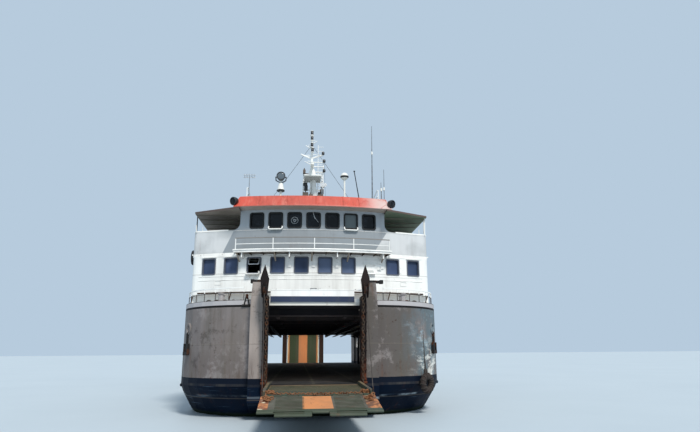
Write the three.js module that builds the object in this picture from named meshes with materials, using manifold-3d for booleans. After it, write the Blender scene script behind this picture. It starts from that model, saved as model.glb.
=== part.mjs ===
// A drive-through passenger and vehicle ferry, afloat, as a half-size model.
// Sizes are those of the full-size ship in millimetres. The outer group brings them to half size.
// The origin is on the centreline amidships, at the waterline. The bow points to -Y, port is +X.
import * as THREE from "three";
import { mergeVertices } from "three/addons/utils/BufferGeometryUtils.js";
import Module from "manifold-3d";

const MODEL_SCALE = 1 / 2;

// Gap between pieces that are cut by, or rest on, a curved or sloping neighbour.
const GAP = 0.8;

// Hull.
const BOW = -21500;
const STERN = 21500;
const HALF_BEAM = 6000;
const STERN_HALF = 5900;
const KEEL = -2000;
const CAR_DECK = 1400;
const DECK_PLATE = 100;
const SHELL_PLATE = 120;
const HULL_TOP = CAR_DECK + 3300;
const PASSENGER_DECK = HULL_TOP + 150;
const SHOULDER_SEGMENTS = 8;

// Bow opening, its posts and the raised ends of the shell beside them.
const OPENING_HALF = 1900;
const POST_OUTER = 2130;
const EAR_OUTER = 2680;
const EAR_TOP = CAR_DECK + 4150;
const POST_FOOT = CAR_DECK - 700;
const POST_TIP = CAR_DECK + 4780;
const POST_HEAD_MID = 2080;
const HEADER_UNDER = CAR_DECK + 3170;
const HEADER_FRAME = BOW + 2350;

// Passenger saloon.
const FRONT_RADIUS = 16000;
const HOUSE_HALF = 5950;
const HOUSE_CORNER = 320;
const WALL = 90;
const SALOON_FRONT = BOW + 2930;
const SALOON_AFT = 8000;
const SALOON_LIP = CAR_DECK + 4060;
const PLINTH_SETBACK = 340;
const SALOON_SILL = CAR_DECK + 4960;
const SALOON_HEAD = CAR_DECK + 5745;
const SALOON_WINDOW = 690;
const SALOON_PITCH = 1152;

// Bridge deck, wheelhouse and wings.
const BRIDGE_UNDER = CAR_DECK + 5900;
const BRIDGE_DECK = CAR_DECK + 6040;
const BRIDGE_AFT = 17000;
const LEDGE_FRONT = BOW + 2390;
const LEDGE_HALF = 3850;
const BRIDGE_FRONT = BOW + 3165;
const BRIDGE_CORNER = 220;
const WING_TOP = CAR_DECK + 7200;
const WING_AFT = BOW + 8500;
const WHEELHOUSE_HALF = 3650;
const WHEELHOUSE_AFT = BOW + 9200;
const WHEELHOUSE_SILL = CAR_DECK + 7270;
const WHEELHOUSE_HEAD = CAR_DECK + 8020;
const WHEELHOUSE_WINDOW = 660;
const WHEELHOUSE_PITCH = 944;
const ROOF_EDGE = CAR_DECK + 8190;
const ROOF_TOP = CAR_DECK + 8900;
const ROOF_FRONT = BOW + 2450;

// Ramps.
const RAMP_HALF = OPENING_HALF - 45;
const BOW_HINGE = { y: BOW - 150, z: CAR_DECK - 120 };
const FLAP_HINGE = { y: BOW - 4450, z: CAR_DECK - 210 };
const FLAP_END = { y: BOW - 6350, z: CAR_DECK - 400 };
const TONGUE_END = { y: BOW - 6620, z: CAR_DECK - 460, inner: 260, outer: 1330 };
const STERN_HINGE = { y: STERN + 150, z: CAR_DECK - 120 };
const STERN_RAMP_TOP = CAR_DECK + 5400;
const STERN_POST = { inner: OPENING_HALF, outer: 2420 };

// Screws and rudders.
const SCREW_X = 2700;
const SCREW_Y = 18200;
const SCREW_Z = -1230;
const SCREW_RADIUS = 700;
const RUDDER_Y = 19500;

const wasm = await Module();
wasm.setup();

const paint = (color, roughness = 0.55, metalness = 0.1) =>
  new THREE.MeshStandardMaterial({ color, roughness, metalness });
const COLOURS = {
  white: paint(0xdfe0da),
  grey: paint(0xa8a29c),
  navy: paint(0x16304f),
  deck: paint(0x5c6658, 0.8),
  green: paint(0x4f6a55, 0.7),
  orange: paint(0xe5654a, 0.5),
  black: paint(0x2a2422, 0.6),
  steel: paint(0x8b8d8c, 0.4, 0.6),
  bronze: paint(0xb08a4a, 0.35, 0.8),
  brown: paint(0x5a4636, 0.7),
  glass: paint(0x2a3a52, 0.1, 0.2),
  raft: paint(0xe9e7e0, 0.4),
};

const group = new THREE.Group();
group.scale.setScalar(MODEL_SCALE);

// Solids.

function solid(geometry) {
  const bare = geometry.index ? geometry.toNonIndexed() : geometry.clone();
  bare.deleteAttribute("normal");
  bare.deleteAttribute("uv");
  const merged = mergeVertices(bare, 1e-3);
  return new wasm.Manifold(
    new wasm.Mesh({
      numProp: 3,
      vertProperties: merged.attributes.position.array,
      triVerts: new Uint32Array(merged.index.array),
    }),
  );
}

function join(solids) {
  return solids.reduce((whole, piece) => whole.add(piece));
}

function cut(whole, tools) {
  return tools.reduce((left, tool) => left.subtract(tool), whole);
}

function add(name, shape, material) {
  const mesh = shape.getMesh();
  const geometry = new THREE.BufferGeometry();
  geometry.setAttribute("position", new THREE.BufferAttribute(mesh.vertProperties, 3));
  geometry.setIndex(new THREE.BufferAttribute(mesh.triVerts, 1));
  geometry.computeVertexNormals();
  const node = new THREE.Mesh(geometry, material);
  node.name = name;
  group.add(node);
  return node;
}

// The same piece on both sides of the centreline, named for port (+X) and starboard (-X).
function addPair(name, make, material) {
  add(name + "_port", make(1), material);
  add(name + "_starboard", make(-1), material);
}

function box(x0, x1, y0, y1, z0, z1) {
  const geometry = new THREE.BoxGeometry(Math.abs(x1 - x0), Math.abs(y1 - y0), Math.abs(z1 - z0));
  return solid(geometry.translate((x0 + x1) / 2, (y0 + y1) / 2, (z0 + z1) / 2));
}

function outlineShape(points) {
  return new THREE.Shape(points.map(([a, b]) => new THREE.Vector2(a, b)));
}

// A plan outline, as x and y, raised from z0 to z1.
function plan(points, z0, z1) {
  const geometry = new THREE.ExtrudeGeometry(outlineShape(points), {
    depth: z1 - z0,
    bevelEnabled: false,
  });
  return solid(geometry.translate(0, 0, z0));
}

// A side outline, as y and z, run across from x0 to x1.
function profile(points, x0, x1) {
  const geometry = new THREE.ExtrudeGeometry(outlineShape(points), {
    depth: x1 - x0,
    bevelEnabled: false,
  });
  geometry.applyMatrix4(new THREE.Matrix4().set(0, 0, 1, x0, 1, 0, 0, 0, 0, 1, 0, 0, 0, 0, 0, 1));
  return solid(geometry);
}

// A front outline, as x and z, run along from y0 to y1.
function section(points, y0, y1) {
  const geometry = new THREE.ExtrudeGeometry(outlineShape(points), {
    depth: y1 - y0,
    bevelEnabled: false,
  });
  geometry.applyMatrix4(new THREE.Matrix4().set(1, 0, 0, 0, 0, 0, -1, y1, 0, 1, 0, 0, 0, 0, 0, 1));
  return solid(geometry);
}

// A round bar from one point to another.
function bar(from, to, radius, endRadius = radius, sides = 8) {
  const a = new THREE.Vector3(...from);
  const b = new THREE.Vector3(...to);
  const along = b.clone().sub(a);
  const geometry = new THREE.CylinderGeometry(endRadius, radius, along.length(), sides);
  const turn = new THREE.Quaternion().setFromUnitVectors(
    new THREE.Vector3(0, 1, 0),
    along.clone().normalize(),
  );
  geometry.applyQuaternion(turn);
  return solid(geometry.translate((a.x + b.x) / 2, (a.y + b.y) / 2, (a.z + b.z) / 2));
}

// A solid through rings of equally many points, closed by flat ends.
function loft(rings) {
  const sides = rings[0].length;
  const positions = rings.flat(2);
  const index = [];
  for (let ring = 0; ring + 1 < rings.length; ring++) {
    for (let side = 0; side < sides; side++) {
      const a = ring * sides + side;
      const b = ring * sides + ((side + 1) % sides);
      index.push(a, b, b + sides, a, b + sides, a + sides);
    }
  }
  const flat = rings[0].map(([x, y]) => new THREE.Vector2(x, y));
  const last = (rings.length - 1) * sides;
  for (const [a, b, c] of THREE.ShapeUtils.triangulateShape(flat, [])) {
    index.push(c, b, a, last + a, last + b, last + c);
  }
  const geometry = new THREE.BufferGeometry();
  geometry.setAttribute("position", new THREE.Float32BufferAttribute(positions, 3));
  geometry.setIndex(index);
  return solid(geometry);
}

// Outlines.

// Half a hull outline at one height, from the bow opening round the shoulder to the stern.
function halfOutline(start, startHalf, fullHalf, shoulder, sternY, sternHalf, inset = 0) {
  const points = [];
  for (let step = 0; step <= SHOULDER_SEGMENTS; step++) {
    const turn = (step / SHOULDER_SEGMENTS) * (Math.PI / 2);
    points.push([
      startHalf + (fullHalf - startHalf) * Math.sin(turn) - inset * Math.sin(turn),
      BOW + start + shoulder * (1 - Math.cos(turn)) + inset * Math.cos(turn),
    ]);
  }
  points.push([fullHalf - inset, sternY - (sternY - BOW) * 0.22]);
  points.push([sternHalf - inset, sternY]);
  return points;
}

function bothSides(half) {
  return [...half, ...half.map(([x, y]) => [-x, y]).reverse()];
}

// The curved house front: a wide arc, a round corner at each side, set in by some distance.
function frontPath(front, half, corner, inset = 0) {
  const centre = front + FRONT_RADIUS;
  const swing = Math.asin((half - corner) / (FRONT_RADIUS - corner));
  const cornerY = centre - Math.sqrt((FRONT_RADIUS - corner) ** 2 - (half - corner) ** 2);
  const points = [];
  for (let step = 0; step <= 6; step++) {
    const a = (swing * step) / 6;
    points.push([
      (FRONT_RADIUS - inset) * Math.sin(a),
      centre - (FRONT_RADIUS - inset) * Math.cos(a),
    ]);
  }
  for (let step = 1; step <= 3; step++) {
    const a = swing + ((Math.PI / 2 - swing) * step) / 3;
    points.push([
      half - corner + (corner - inset) * Math.sin(a),
      cornerY - (corner - inset) * Math.cos(a),
    ]);
  }
  return [
    ...points
      .slice(1)
      .map(([x, y]) => [-x, y])
      .reverse(),
    ...points,
  ];
}

function cornerY(front, half, corner) {
  return (
    front +
    FRONT_RADIUS -
    Math.sqrt((FRONT_RADIUS - corner) ** 2 - (half - corner) ** 2)
  );
}

function frontWall(front, half, corner, from, to, z0, z1) {
  const outer = frontPath(front, half, corner, from);
  const inner = frontPath(front, half, corner, to).reverse();
  return plan([...outer, ...inner], z0, z1);
}

// A strip of glass just behind a front wall, out to a half width.
function frontPane([front, half, corner, inset], halfWidth, z0, z1) {
  const strip = frontWall(front, half, corner, inset, inset + 24, z0, z1);
  return strip.intersect(box(-halfWidth, halfWidth, front - 500, front + 3000, z0, z1));
}

// Part of the front arc only, out to a half angle.
function frontBand(front, halfAngle, from, to, z0, z1) {
  const centre = front + FRONT_RADIUS;
  const steps = 10;
  const arc = (inset) =>
    Array.from({ length: steps + 1 }, (_, step) => {
      const a = halfAngle * ((2 * step) / steps - 1);
      const r = FRONT_RADIUS - inset;
      return [r * Math.sin(a), centre - r * Math.cos(a)];
    });
  return plan([...arc(from), ...arc(to).reverse()], z0, z1);
}

// A box that stands across the front arc at an angle, such as a window cut.
function frontBox(front, angle, width, z0, z1, depth = 900) {
  const geometry = new THREE.BoxGeometry(width, depth, z1 - z0);
  geometry.translate(0, -FRONT_RADIUS, (z0 + z1) / 2);
  geometry.rotateZ(angle);
  return solid(geometry.translate(0, front + FRONT_RADIUS, 0));
}

// Hull below the car deck.

// Waterlines: height, bow start, half width there, full half width, shoulder length, stern, half width there.
const WATERLINES = [
  [KEEL, 5200, 1200, 4600, 6500, 12500, 3600],
  [-1500, 3700, 1300, 5350, 6200, 14500, 4300],
  [-500, 2100, 1500, 5700, 5200, 17300, 5000],
  [300, 1200, 1800, 5850, 4300, STERN, 5500],
  [1000, 650, 2150, 5980, 3600, STERN, 5800],
  [CAR_DECK - DECK_PLATE, 500, 2350, HALF_BEAM, 3300, STERN, STERN_HALF],
];
const DECK_LINE = [500, 2350, HALF_BEAM, 3300, STERN, STERN_HALF];

function lowerHull() {
  const rings = WATERLINES.map(([z, ...line]) =>
    bothSides(halfOutline(...line)).map(([x, y]) => [x, y, z]),
  );
  const sill = profile(
    [
      [BOW, CAR_DECK - DECK_PLATE],
      [BOW, POST_FOOT],
      [BOW + 1300, POST_FOOT - 500],
      [BOW + 1500, POST_FOOT - 500],
      [BOW + 1500, CAR_DECK - DECK_PLATE],
    ],
    -EAR_OUTER,
    EAR_OUTER,
  );
  return join([loft(rings), sill, ...rampLugs(), ...sternGear()]);
}

// Hinge lugs at both ends of each ramp's barrel.
function rampLugs() {
  return [-1, 1].flatMap((side) => {
    const inner = side * (RAMP_HALF + GAP);
    const outer = side * (OPENING_HALF - GAP);
    return [
      box(inner, outer, BOW - 260, BOW + 100, CAR_DECK - 260, CAR_DECK - DECK_PLATE),
      box(inner, outer, BOW - 260, BOW - 10, CAR_DECK - 150, CAR_DECK - 20),
      box(inner, outer, STERN - 100, STERN + 260, CAR_DECK - 260, CAR_DECK - DECK_PLATE),
      box(inner, outer, STERN + 10, STERN + 260, CAR_DECK - 150, CAR_DECK - 20),
    ];
  });
}

// What the hull carries under its stern: a docking skeg, shaft tubes and their struts.
function sternGear() {
  const skeg = profile(
    [
      [10500, KEEL],
      [19800, KEEL],
      [19800, KEEL + 250],
      [18800, -200],
      [12500, -200],
      [10500, KEEL + 300],
    ],
    -120,
    120,
  );
  const tubes = [-1, 1].flatMap((side) => [
    bar([side * SCREW_X, 12000, SCREW_Z], [side * SCREW_X, SCREW_Y - HUB_HALF, SCREW_Z], 150, 130),
    profile(
      [
        [SCREW_Y - 700, SCREW_Z],
        [SCREW_Y - 330, SCREW_Z],
        [SCREW_Y - 500, -200],
        [SCREW_Y - 900, -200],
      ],
      side * SCREW_X - 40,
      side * SCREW_X + 40,
    ),
  ]);
  return [skeg, ...tubes];
}

function carDeck() {
  const deck = plan(bothSides(halfOutline(...DECK_LINE)), CAR_DECK - DECK_PLATE, CAR_DECK);
  const sill = box(-EAR_OUTER, EAR_OUTER, BOW, BOW + 1500, CAR_DECK - DECK_PLATE, CAR_DECK);
  return join([deck, sill]);
}

// Side shell, with its raised end beside the bow post and openings over the car deck.
const PORT_LENGTH = 1900;
const PORT_PITCH = 3300;
const PORT_FIRST = -11500;
const PORT_COUNT = 9;

function shell(side) {
  const outer = halfOutline(...DECK_LINE);
  const inner = halfOutline(...DECK_LINE, SHELL_PLATE).reverse();
  const wall = plan([...outer, ...inner], CAR_DECK, HULL_TOP);
  const ear = section(
    [
      [POST_OUTER + GAP, CAR_DECK],
      [EAR_OUTER, CAR_DECK],
      [EAR_OUTER, HULL_TOP],
      [EAR_OUTER - 60, EAR_TOP],
      [POST_OUTER + GAP, EAR_TOP],
    ],
    BOW,
    BOW + 660,
  );
  const ports = Array.from({ length: PORT_COUNT }, (_, i) => {
    const y = PORT_FIRST + i * PORT_PITCH;
    return box(5000, 6500, y, y + PORT_LENGTH, CAR_DECK + 1700, CAR_DECK + 2700);
  });
  const half = cut(join([wall, ear]), ports);
  return side > 0 ? half : half.mirror([1, 0, 0]);
}

// Bow post: raked forward, with a spear head.
function bowPost(side) {
  const rake = (z) => BOW - 180 - ((z - CAR_DECK) / (POST_TIP - CAR_DECK)) * 640;
  const top = CAR_DECK + 3500;
  const leg = profile(
    [
      [rake(POST_FOOT), POST_FOOT],
      [BOW - GAP, POST_FOOT],
      [BOW - GAP, top],
      [rake(top), top],
    ],
    OPENING_HALF,
    POST_OUTER,
  );
  const head = section(
    [
      [POST_HEAD_MID - 110, top - 60],
      [POST_HEAD_MID + 110, top - 60],
      [POST_HEAD_MID + 175, CAR_DECK + 4200],
      [POST_HEAD_MID, POST_TIP],
      [POST_HEAD_MID - 175, CAR_DECK + 4200],
    ],
    BOW - 800,
    BOW - 560,
  );
  const post = join([leg, head]);
  return side > 0 ? post : post.mirror([1, 0, 0]);
}

function bowHeader() {
  return join([
    box(-POST_OUTER, POST_OUTER, BOW + GAP, HEADER_FRAME, HEADER_UNDER, HULL_TOP),
    box(-POST_OUTER, POST_OUTER, HEADER_FRAME, HEADER_FRAME + 250, HEADER_UNDER - 250, HULL_TOP),
  ]);
}

// Beams under the passenger deck: two long girders and the cross beams between them and the shell.
const BEAM_DEPTH = 420;
const GIRDER_X = 2600;
const BEAM_COUNT = 10;
const BEAM_PITCH = 3500;

function deckBeams() {
  const girders = [-GIRDER_X, GIRDER_X].map((x) =>
    box(x - 90, x + 90, HEADER_FRAME + 250 + GAP, STERN - 1900, HULL_TOP - BEAM_DEPTH, HULL_TOP),
  );
  const cross = Array.from({ length: BEAM_COUNT }, (_, i) => {
    const y = BOW + 4600 + i * BEAM_PITCH;
    return box(-5850, 5850, y, y + 140, HULL_TOP - 300, HULL_TOP);
  });
  return join([...girders, ...cross]);
}

// Side casing on the car deck, with the ways up and the engine trunk in it.
const CASING = { outer: 5850, inner: 4700, front: -4700, aft: 3000 };

function casing(side) {
  const { outer, inner, front, aft } = CASING;
  return box(side * outer, side * inner, front, aft, CAR_DECK, HULL_TOP - BEAM_DEPTH);
}

// Upper works.

function bollardPair(x, y) {
  return [-220, 220].flatMap((offset) => [
    bar([x, y + offset, PASSENGER_DECK - 20], [x, y + offset, PASSENGER_DECK + 420], 110),
    bar([x, y + offset, PASSENGER_DECK + 380], [x, y + offset, PASSENGER_DECK + 450], 150),
  ]);
}

function passengerDeck() {
  const slab = plan(bothSides(halfOutline(...DECK_LINE)), HULL_TOP, PASSENGER_DECK);
  const sill = box(-POST_OUTER, POST_OUTER, BOW + GAP, BOW + 1500, HULL_TOP, PASSENGER_DECK);
  const wall = frontWall(
    SALOON_FRONT,
    HOUSE_HALF,
    HOUSE_CORNER,
    PLINTH_SETBACK - 40,
    HOUSE_CORNER,
    PASSENGER_DECK - 20,
    SALOON_LIP,
  );
  const flange = frontWall(
    SALOON_FRONT,
    HOUSE_HALF,
    HOUSE_CORNER,
    0,
    HOUSE_CORNER,
    SALOON_LIP - 60,
    SALOON_LIP,
  );
  const bollards = [
    [4200, BOW + 2300],
    [-4200, BOW + 2300],
    [5300, STERN - 1300],
    [-5300, STERN - 1300],
  ].flatMap(([x, y]) => bollardPair(x, y));
  const notches = [-1, 1].map((side) =>
    box(
      side * (POST_OUTER - 2 * GAP),
      side * (EAR_OUTER + GAP),
      BOW - 100,
      BOW + 660 + GAP,
      HULL_TOP - 100,
      PASSENGER_DECK + 100,
    ),
  );
  return cut(join([slab, sill, wall, flange, ...bollards, foreRail(1), foreRail(-1)]), notches);
}

// Rail along the edge of the fore deck, from the bow post's shell end round the shoulder.
function foreRail(side) {
  const path = halfOutline(...DECK_LINE, SHELL_PLATE)
    .slice(1, SHOULDER_SEGMENTS)
    .map(([x, y]) => [side * x, y]);
  return handrail(path, PASSENGER_DECK - 10, [570, 330], 1000, 44);
}

// Blank board hung on the deck edge over the bow opening, with a plate and a rail above it.
const SIGN = { left: -1860, right: 1680, foot: CAR_DECK + 3310, top: CAR_DECK + 3540 };
const SIGN_RAIL = CAR_DECK + 3840;

function signBoard() {
  const { left, right, foot, top } = SIGN;
  const board = box(left, right, BOW - 50, BOW, foot, top);
  const plate = box(left, right, BOW - 30, BOW, top - 20, SIGN_RAIL - 20);
  const rail = box(left - 15, POST_OUTER, BOW - 40, BOW + 20, SIGN_RAIL - 40, SIGN_RAIL);
  const posts = [-1760, 0, 1640].map((x) =>
    box(x - 25, x + 25, BOW - 20, BOW + 40, PASSENGER_DECK, SIGN_RAIL - 10),
  );
  return join([board, plate, rail, ...posts]);
}

const saloonAngle = (i) => ((i - 4.5) * SALOON_PITCH) / FRONT_RADIUS;
const BLANK_WINDOW = 7;
const OPEN_WINDOW = 2;

function saloonFront() {
  const wall = frontWall(SALOON_FRONT, HOUSE_HALF, HOUSE_CORNER, 0, WALL, SALOON_LIP, BRIDGE_UNDER);
  const windows = Array.from({ length: 10 }, (_, i) => i)
    .filter((i) => i !== BLANK_WINDOW)
    .map((i) => frontBox(SALOON_FRONT, saloonAngle(i), SALOON_WINDOW, SALOON_SILL, SALOON_HEAD));
  return cut(wall, windows);
}

function saloonFrontGlass() {
  const band = frontPane(
    [SALOON_FRONT, HOUSE_HALF, HOUSE_CORNER, WALL + GAP],
    FRONT_RADIUS * Math.sin(saloonAngle(9)) + 430,
    SALOON_SILL - 80,
    SALOON_HEAD + 80,
  );
  const open = frontBox(
    SALOON_FRONT,
    saloonAngle(OPEN_WINDOW),
    SALOON_WINDOW - 60,
    SALOON_SILL + 30,
    SALOON_HEAD - 30,
  );
  return cut(band, [open]);
}

const SIDE_WINDOW_FIRST = -16300;
const SIDE_WINDOW_PITCH = 1650;
const SIDE_WINDOW_COUNT = 14;
const SALOON_SIDE_START = cornerY(SALOON_FRONT, HOUSE_HALF, HOUSE_CORNER) + GAP;

function saloonSide(side) {
  const wall = box(
    HOUSE_HALF - WALL,
    HOUSE_HALF,
    SALOON_SIDE_START,
    SALOON_AFT,
    PASSENGER_DECK,
    BRIDGE_UNDER,
  );
  const windows = Array.from({ length: SIDE_WINDOW_COUNT }, (_, i) => {
    const y = SIDE_WINDOW_FIRST + i * SIDE_WINDOW_PITCH;
    return box(5500, 6200, y, y + 900, SALOON_SILL, SALOON_HEAD);
  });
  const half = cut(wall, windows);
  return side > 0 ? half : half.mirror([1, 0, 0]);
}

function saloonSideGlass(side) {
  const x = HOUSE_HALF - WALL - GAP;
  const length = (SIDE_WINDOW_COUNT - 1) * SIDE_WINDOW_PITCH + 900;
  return box(
    side * (x - 24),
    side * x,
    SIDE_WINDOW_FIRST - 100,
    SIDE_WINDOW_FIRST + length + 100,
    SALOON_SILL - 80,
    SALOON_HEAD + 80,
  );
}

// Hinged doors: opening width and height, the running gap at their free edges, and thickness.
const DOOR_WIDTH = 900;
const DOOR_HEIGHT = 1950;
const DOOR_GAP = 12;
const DOOR_THICK = 60;
const SALOON_DOOR_X = 2600;

function saloonAft() {
  const wall = box(
    -(HOUSE_HALF - WALL - GAP),
    HOUSE_HALF - WALL - GAP,
    SALOON_AFT - WALL,
    SALOON_AFT,
    PASSENGER_DECK,
    BRIDGE_UNDER,
  );
  const doors = [-1, 1].map((side) =>
    box(
      side * SALOON_DOOR_X,
      side * (SALOON_DOOR_X + DOOR_WIDTH),
      SALOON_AFT - 500,
      SALOON_AFT + 100,
      PASSENGER_DECK + 150,
      PASSENGER_DECK + 150 + DOOR_HEIGHT,
    ),
  );
  const windows = [-4900, -1500, -350, 800, 4000].map((x) =>
    box(x, x + 700, SALOON_AFT - 500, SALOON_AFT + 100, SALOON_SILL, SALOON_HEAD),
  );
  return cut(wall, [...doors, ...windows]);
}

// A door leaf stands in its opening with its hinge at the outboard edge.
function saloonDoor(side) {
  return box(
    side * (SALOON_DOOR_X + DOOR_GAP),
    side * (SALOON_DOOR_X + DOOR_WIDTH - GAP),
    SALOON_AFT - DOOR_THICK,
    SALOON_AFT,
    PASSENGER_DECK + 150 + DOOR_GAP,
    PASSENGER_DECK + 150 + DOOR_HEIGHT - DOOR_GAP,
  );
}

// Bridge deck, with the front ledge, the pillars of the open deck below it and the aft stair.
const DECK_PILLARS = [11000, 14000, BRIDGE_AFT - 200];

function bridgeDeck() {
  const front = frontPath(BRIDGE_FRONT - 60, HALF_BEAM + 10, BRIDGE_CORNER);
  const main = plan(
    [...front, [HALF_BEAM + 10, BRIDGE_AFT], [-HALF_BEAM - 10, BRIDGE_AFT]],
    BRIDGE_UNDER,
    BRIDGE_DECK,
  );
  const halfAngle = Math.asin(LEDGE_HALF / FRONT_RADIUS);
  const ledge = frontBand(LEDGE_FRONT, halfAngle, 0, 745, BRIDGE_UNDER + 20, BRIDGE_DECK + 10);
  const gussets = [-3, -1, 1, 3].map((k) =>
    frontBox(LEDGE_FRONT + 290, (k * halfAngle) / 3.4, 50, BRIDGE_UNDER - 220, BRIDGE_UNDER + 60, 400),
  );
  const pillars = [-1, 1].flatMap((side) =>
    DECK_PILLARS.map((y) =>
      box(side * 5580, side * 5700, y, y + 120, PASSENGER_DECK, BRIDGE_UNDER + 20),
    ),
  );
  return join([main, ledge, stair(), ...gussets, ...pillars]);
}

const STAIR_STEPS = 11;
const STAIR_RUN = 250;
const STAIR_HALF = 450;

function stair() {
  const rise = (BRIDGE_DECK - PASSENGER_DECK) / STAIR_STEPS;
  const points = [[BRIDGE_AFT - 50, BRIDGE_DECK]];
  for (let step = 1; step <= STAIR_STEPS; step++) {
    const z = BRIDGE_DECK - (step - 1) * rise;
    const y = BRIDGE_AFT + (step - 1) * STAIR_RUN;
    if (step > 1) points.push([y, z]);
    points.push([y, z - rise]);
  }
  points.push([BRIDGE_AFT + (STAIR_STEPS - 2) * STAIR_RUN, PASSENGER_DECK]);
  points.push([BRIDGE_AFT - 50, BRIDGE_DECK - 300]);
  return profile(points.reverse(), -STAIR_HALF, STAIR_HALF);
}

// The plan outline of a strip of some width along a path, mitred at the path's corners.
function strip(path, width) {
  const normals = path.slice(1).map(([x, y], i) => {
    const [dx, dy] = [x - path[i][0], y - path[i][1]];
    const length = Math.hypot(dx, dy);
    return [dy / length, -dx / length];
  });
  const edge = (side) =>
    path.map(([x, y], i) => {
      const [ax, ay] = normals[Math.max(i - 1, 0)];
      const [bx, by] = normals[Math.min(i, normals.length - 1)];
      const reach = (side * width) / 2 / (1 + ax * bx + ay * by);
      return [x + (ax + bx) * reach, y + (ay + by) * reach];
    });
  return [...edge(1), ...edge(-1).reverse()];
}

// A handrail along a path of plan points: a top rail, thinner lower rails, and posts.
function handrail(path, deck, heights, spacing, width = 56) {
  const rails = heights.map((h, i) => {
    const size = i ? width - 28 : width;
    return plan(strip(path, size), deck + h - size, deck + h);
  });
  const posts = [];
  const half = (width - 14) / 2;
  for (let i = 0; i + 1 < path.length; i++) {
    const [ax, ay] = path[i];
    const [bx, by] = path[i + 1];
    const bays = Math.max(1, Math.round(Math.hypot(bx - ax, by - ay) / spacing));
    for (let bay = i ? 1 : 0; bay <= bays; bay++) {
      const shift = bay === 0 && i === 0 ? half + 10 : 0;
      const x = Math.round(ax + ((bx - ax) * bay) / bays);
      const y = Math.round(ay + ((by - ay) * bay) / bays) + shift;
      posts.push(box(x - half, x + half, y - half, y + half, deck, deck + heights[0] - width / 2));
    }
  }
  return join([...rails, ...posts]);
}

function ledgeRail() {
  const halfAngle = Math.asin((LEDGE_HALF - 60) / FRONT_RADIUS);
  const deck = BRIDGE_DECK + 10;
  const top = frontBand(LEDGE_FRONT, halfAngle, 40, 84, deck + 556, deck + 600);
  const middle = frontBand(LEDGE_FRONT, halfAngle, 48, 76, deck + 270, deck + 300);
  const posts = [-0.99, -0.51, 0.01, 0.51, 0.99].map((k) =>
    frontBox(LEDGE_FRONT + 62, k * halfAngle, 36, deck, deck + 580, 36),
  );
  return join([top, middle, ...posts]);
}

// Wheelhouse front and wing fronts, one curved plate with its windows.
const bridgeAngle = (i) => ((i - 3) * WHEELHOUSE_PITCH) / FRONT_RADIUS;
const WING_CORNER = 350;

function bridgeFront() {
  const wall = frontWall(
    BRIDGE_FRONT,
    HALF_BEAM,
    BRIDGE_CORNER,
    0,
    70,
    BRIDGE_DECK,
    ROOF_EDGE - GAP,
  );
  const windows = Array.from({ length: 7 }, (_, i) =>
    frontBox(BRIDGE_FRONT, bridgeAngle(i), WHEELHOUSE_WINDOW, WHEELHOUSE_SILL, WHEELHOUSE_HEAD),
  );
  const wings = [-1, 1].map((side) => {
    const points = [[side * 7000, WING_TOP]];
    for (let step = 0; step <= 4; step++) {
      const a = (step / 4) * (Math.PI / 2);
      points.push([
        side * (WHEELHOUSE_HALF + WING_CORNER - WING_CORNER * Math.sin(a)),
        WING_TOP + WING_CORNER - WING_CORNER * Math.cos(a),
      ]);
    }
    points.push([side * WHEELHOUSE_HALF, ROOF_EDGE + 100], [side * 7000, ROOF_EDGE + 100]);
    return section(points, BOW + 2000, BOW + 6000);
  });
  return cut(wall, [...windows, ...wings]);
}

function bridgeFrontGlass() {
  return frontPane(
    [BRIDGE_FRONT, HALF_BEAM, BRIDGE_CORNER, 70 + GAP],
    FRONT_RADIUS * Math.sin(bridgeAngle(6)) + 410,
    WHEELHOUSE_SILL - 70,
    WHEELHOUSE_HEAD + 70,
  );
}

// Wheelhouse side, from the front plate to the back wall, with its door opening and windows.
const WHEELHOUSE_DOOR_Y = BOW + 5400;

function wheelhouseSide(side) {
  const x = WHEELHOUSE_HALF;
  const wall = box(x - 70, x, BOW + 3720, WHEELHOUSE_AFT, BRIDGE_DECK, ROOF_EDGE - GAP);
  const door = box(
    x - 500,
    x + 500,
    WHEELHOUSE_DOOR_Y,
    WHEELHOUSE_DOOR_Y + DOOR_WIDTH,
    BRIDGE_DECK + 120,
    BRIDGE_DECK + 120 + DOOR_HEIGHT - 100,
  );
  const windows = [BOW + 4300, BOW + 6800, BOW + 7900].map((y) =>
    box(x - 500, x + 500, y, y + 780, WHEELHOUSE_SILL, WHEELHOUSE_HEAD),
  );
  const half = cut(wall, [door, ...windows]);
  return side > 0 ? half : half.mirror([1, 0, 0]);
}

function wheelhouseDoor(side) {
  const x = WHEELHOUSE_HALF;
  return box(
    side * (x - DOOR_THICK),
    side * x,
    WHEELHOUSE_DOOR_Y + GAP,
    WHEELHOUSE_DOOR_Y + DOOR_WIDTH - DOOR_GAP,
    BRIDGE_DECK + 120 + DOOR_GAP,
    BRIDGE_DECK + 20 + DOOR_HEIGHT - DOOR_GAP,
  );
}

function wheelhouseBack() {
  const x = WHEELHOUSE_HALF - 70 - GAP;
  const wall = box(-x, x, WHEELHOUSE_AFT - 70, WHEELHOUSE_AFT, BRIDGE_DECK, ROOF_EDGE - GAP);
  const windows = [-2600, 1900].map((wx) =>
    box(wx, wx + 700, WHEELHOUSE_AFT - 500, WHEELHOUSE_AFT + 500, WHEELHOUSE_SILL, WHEELHOUSE_HEAD),
  );
  return cut(wall, windows);
}

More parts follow.
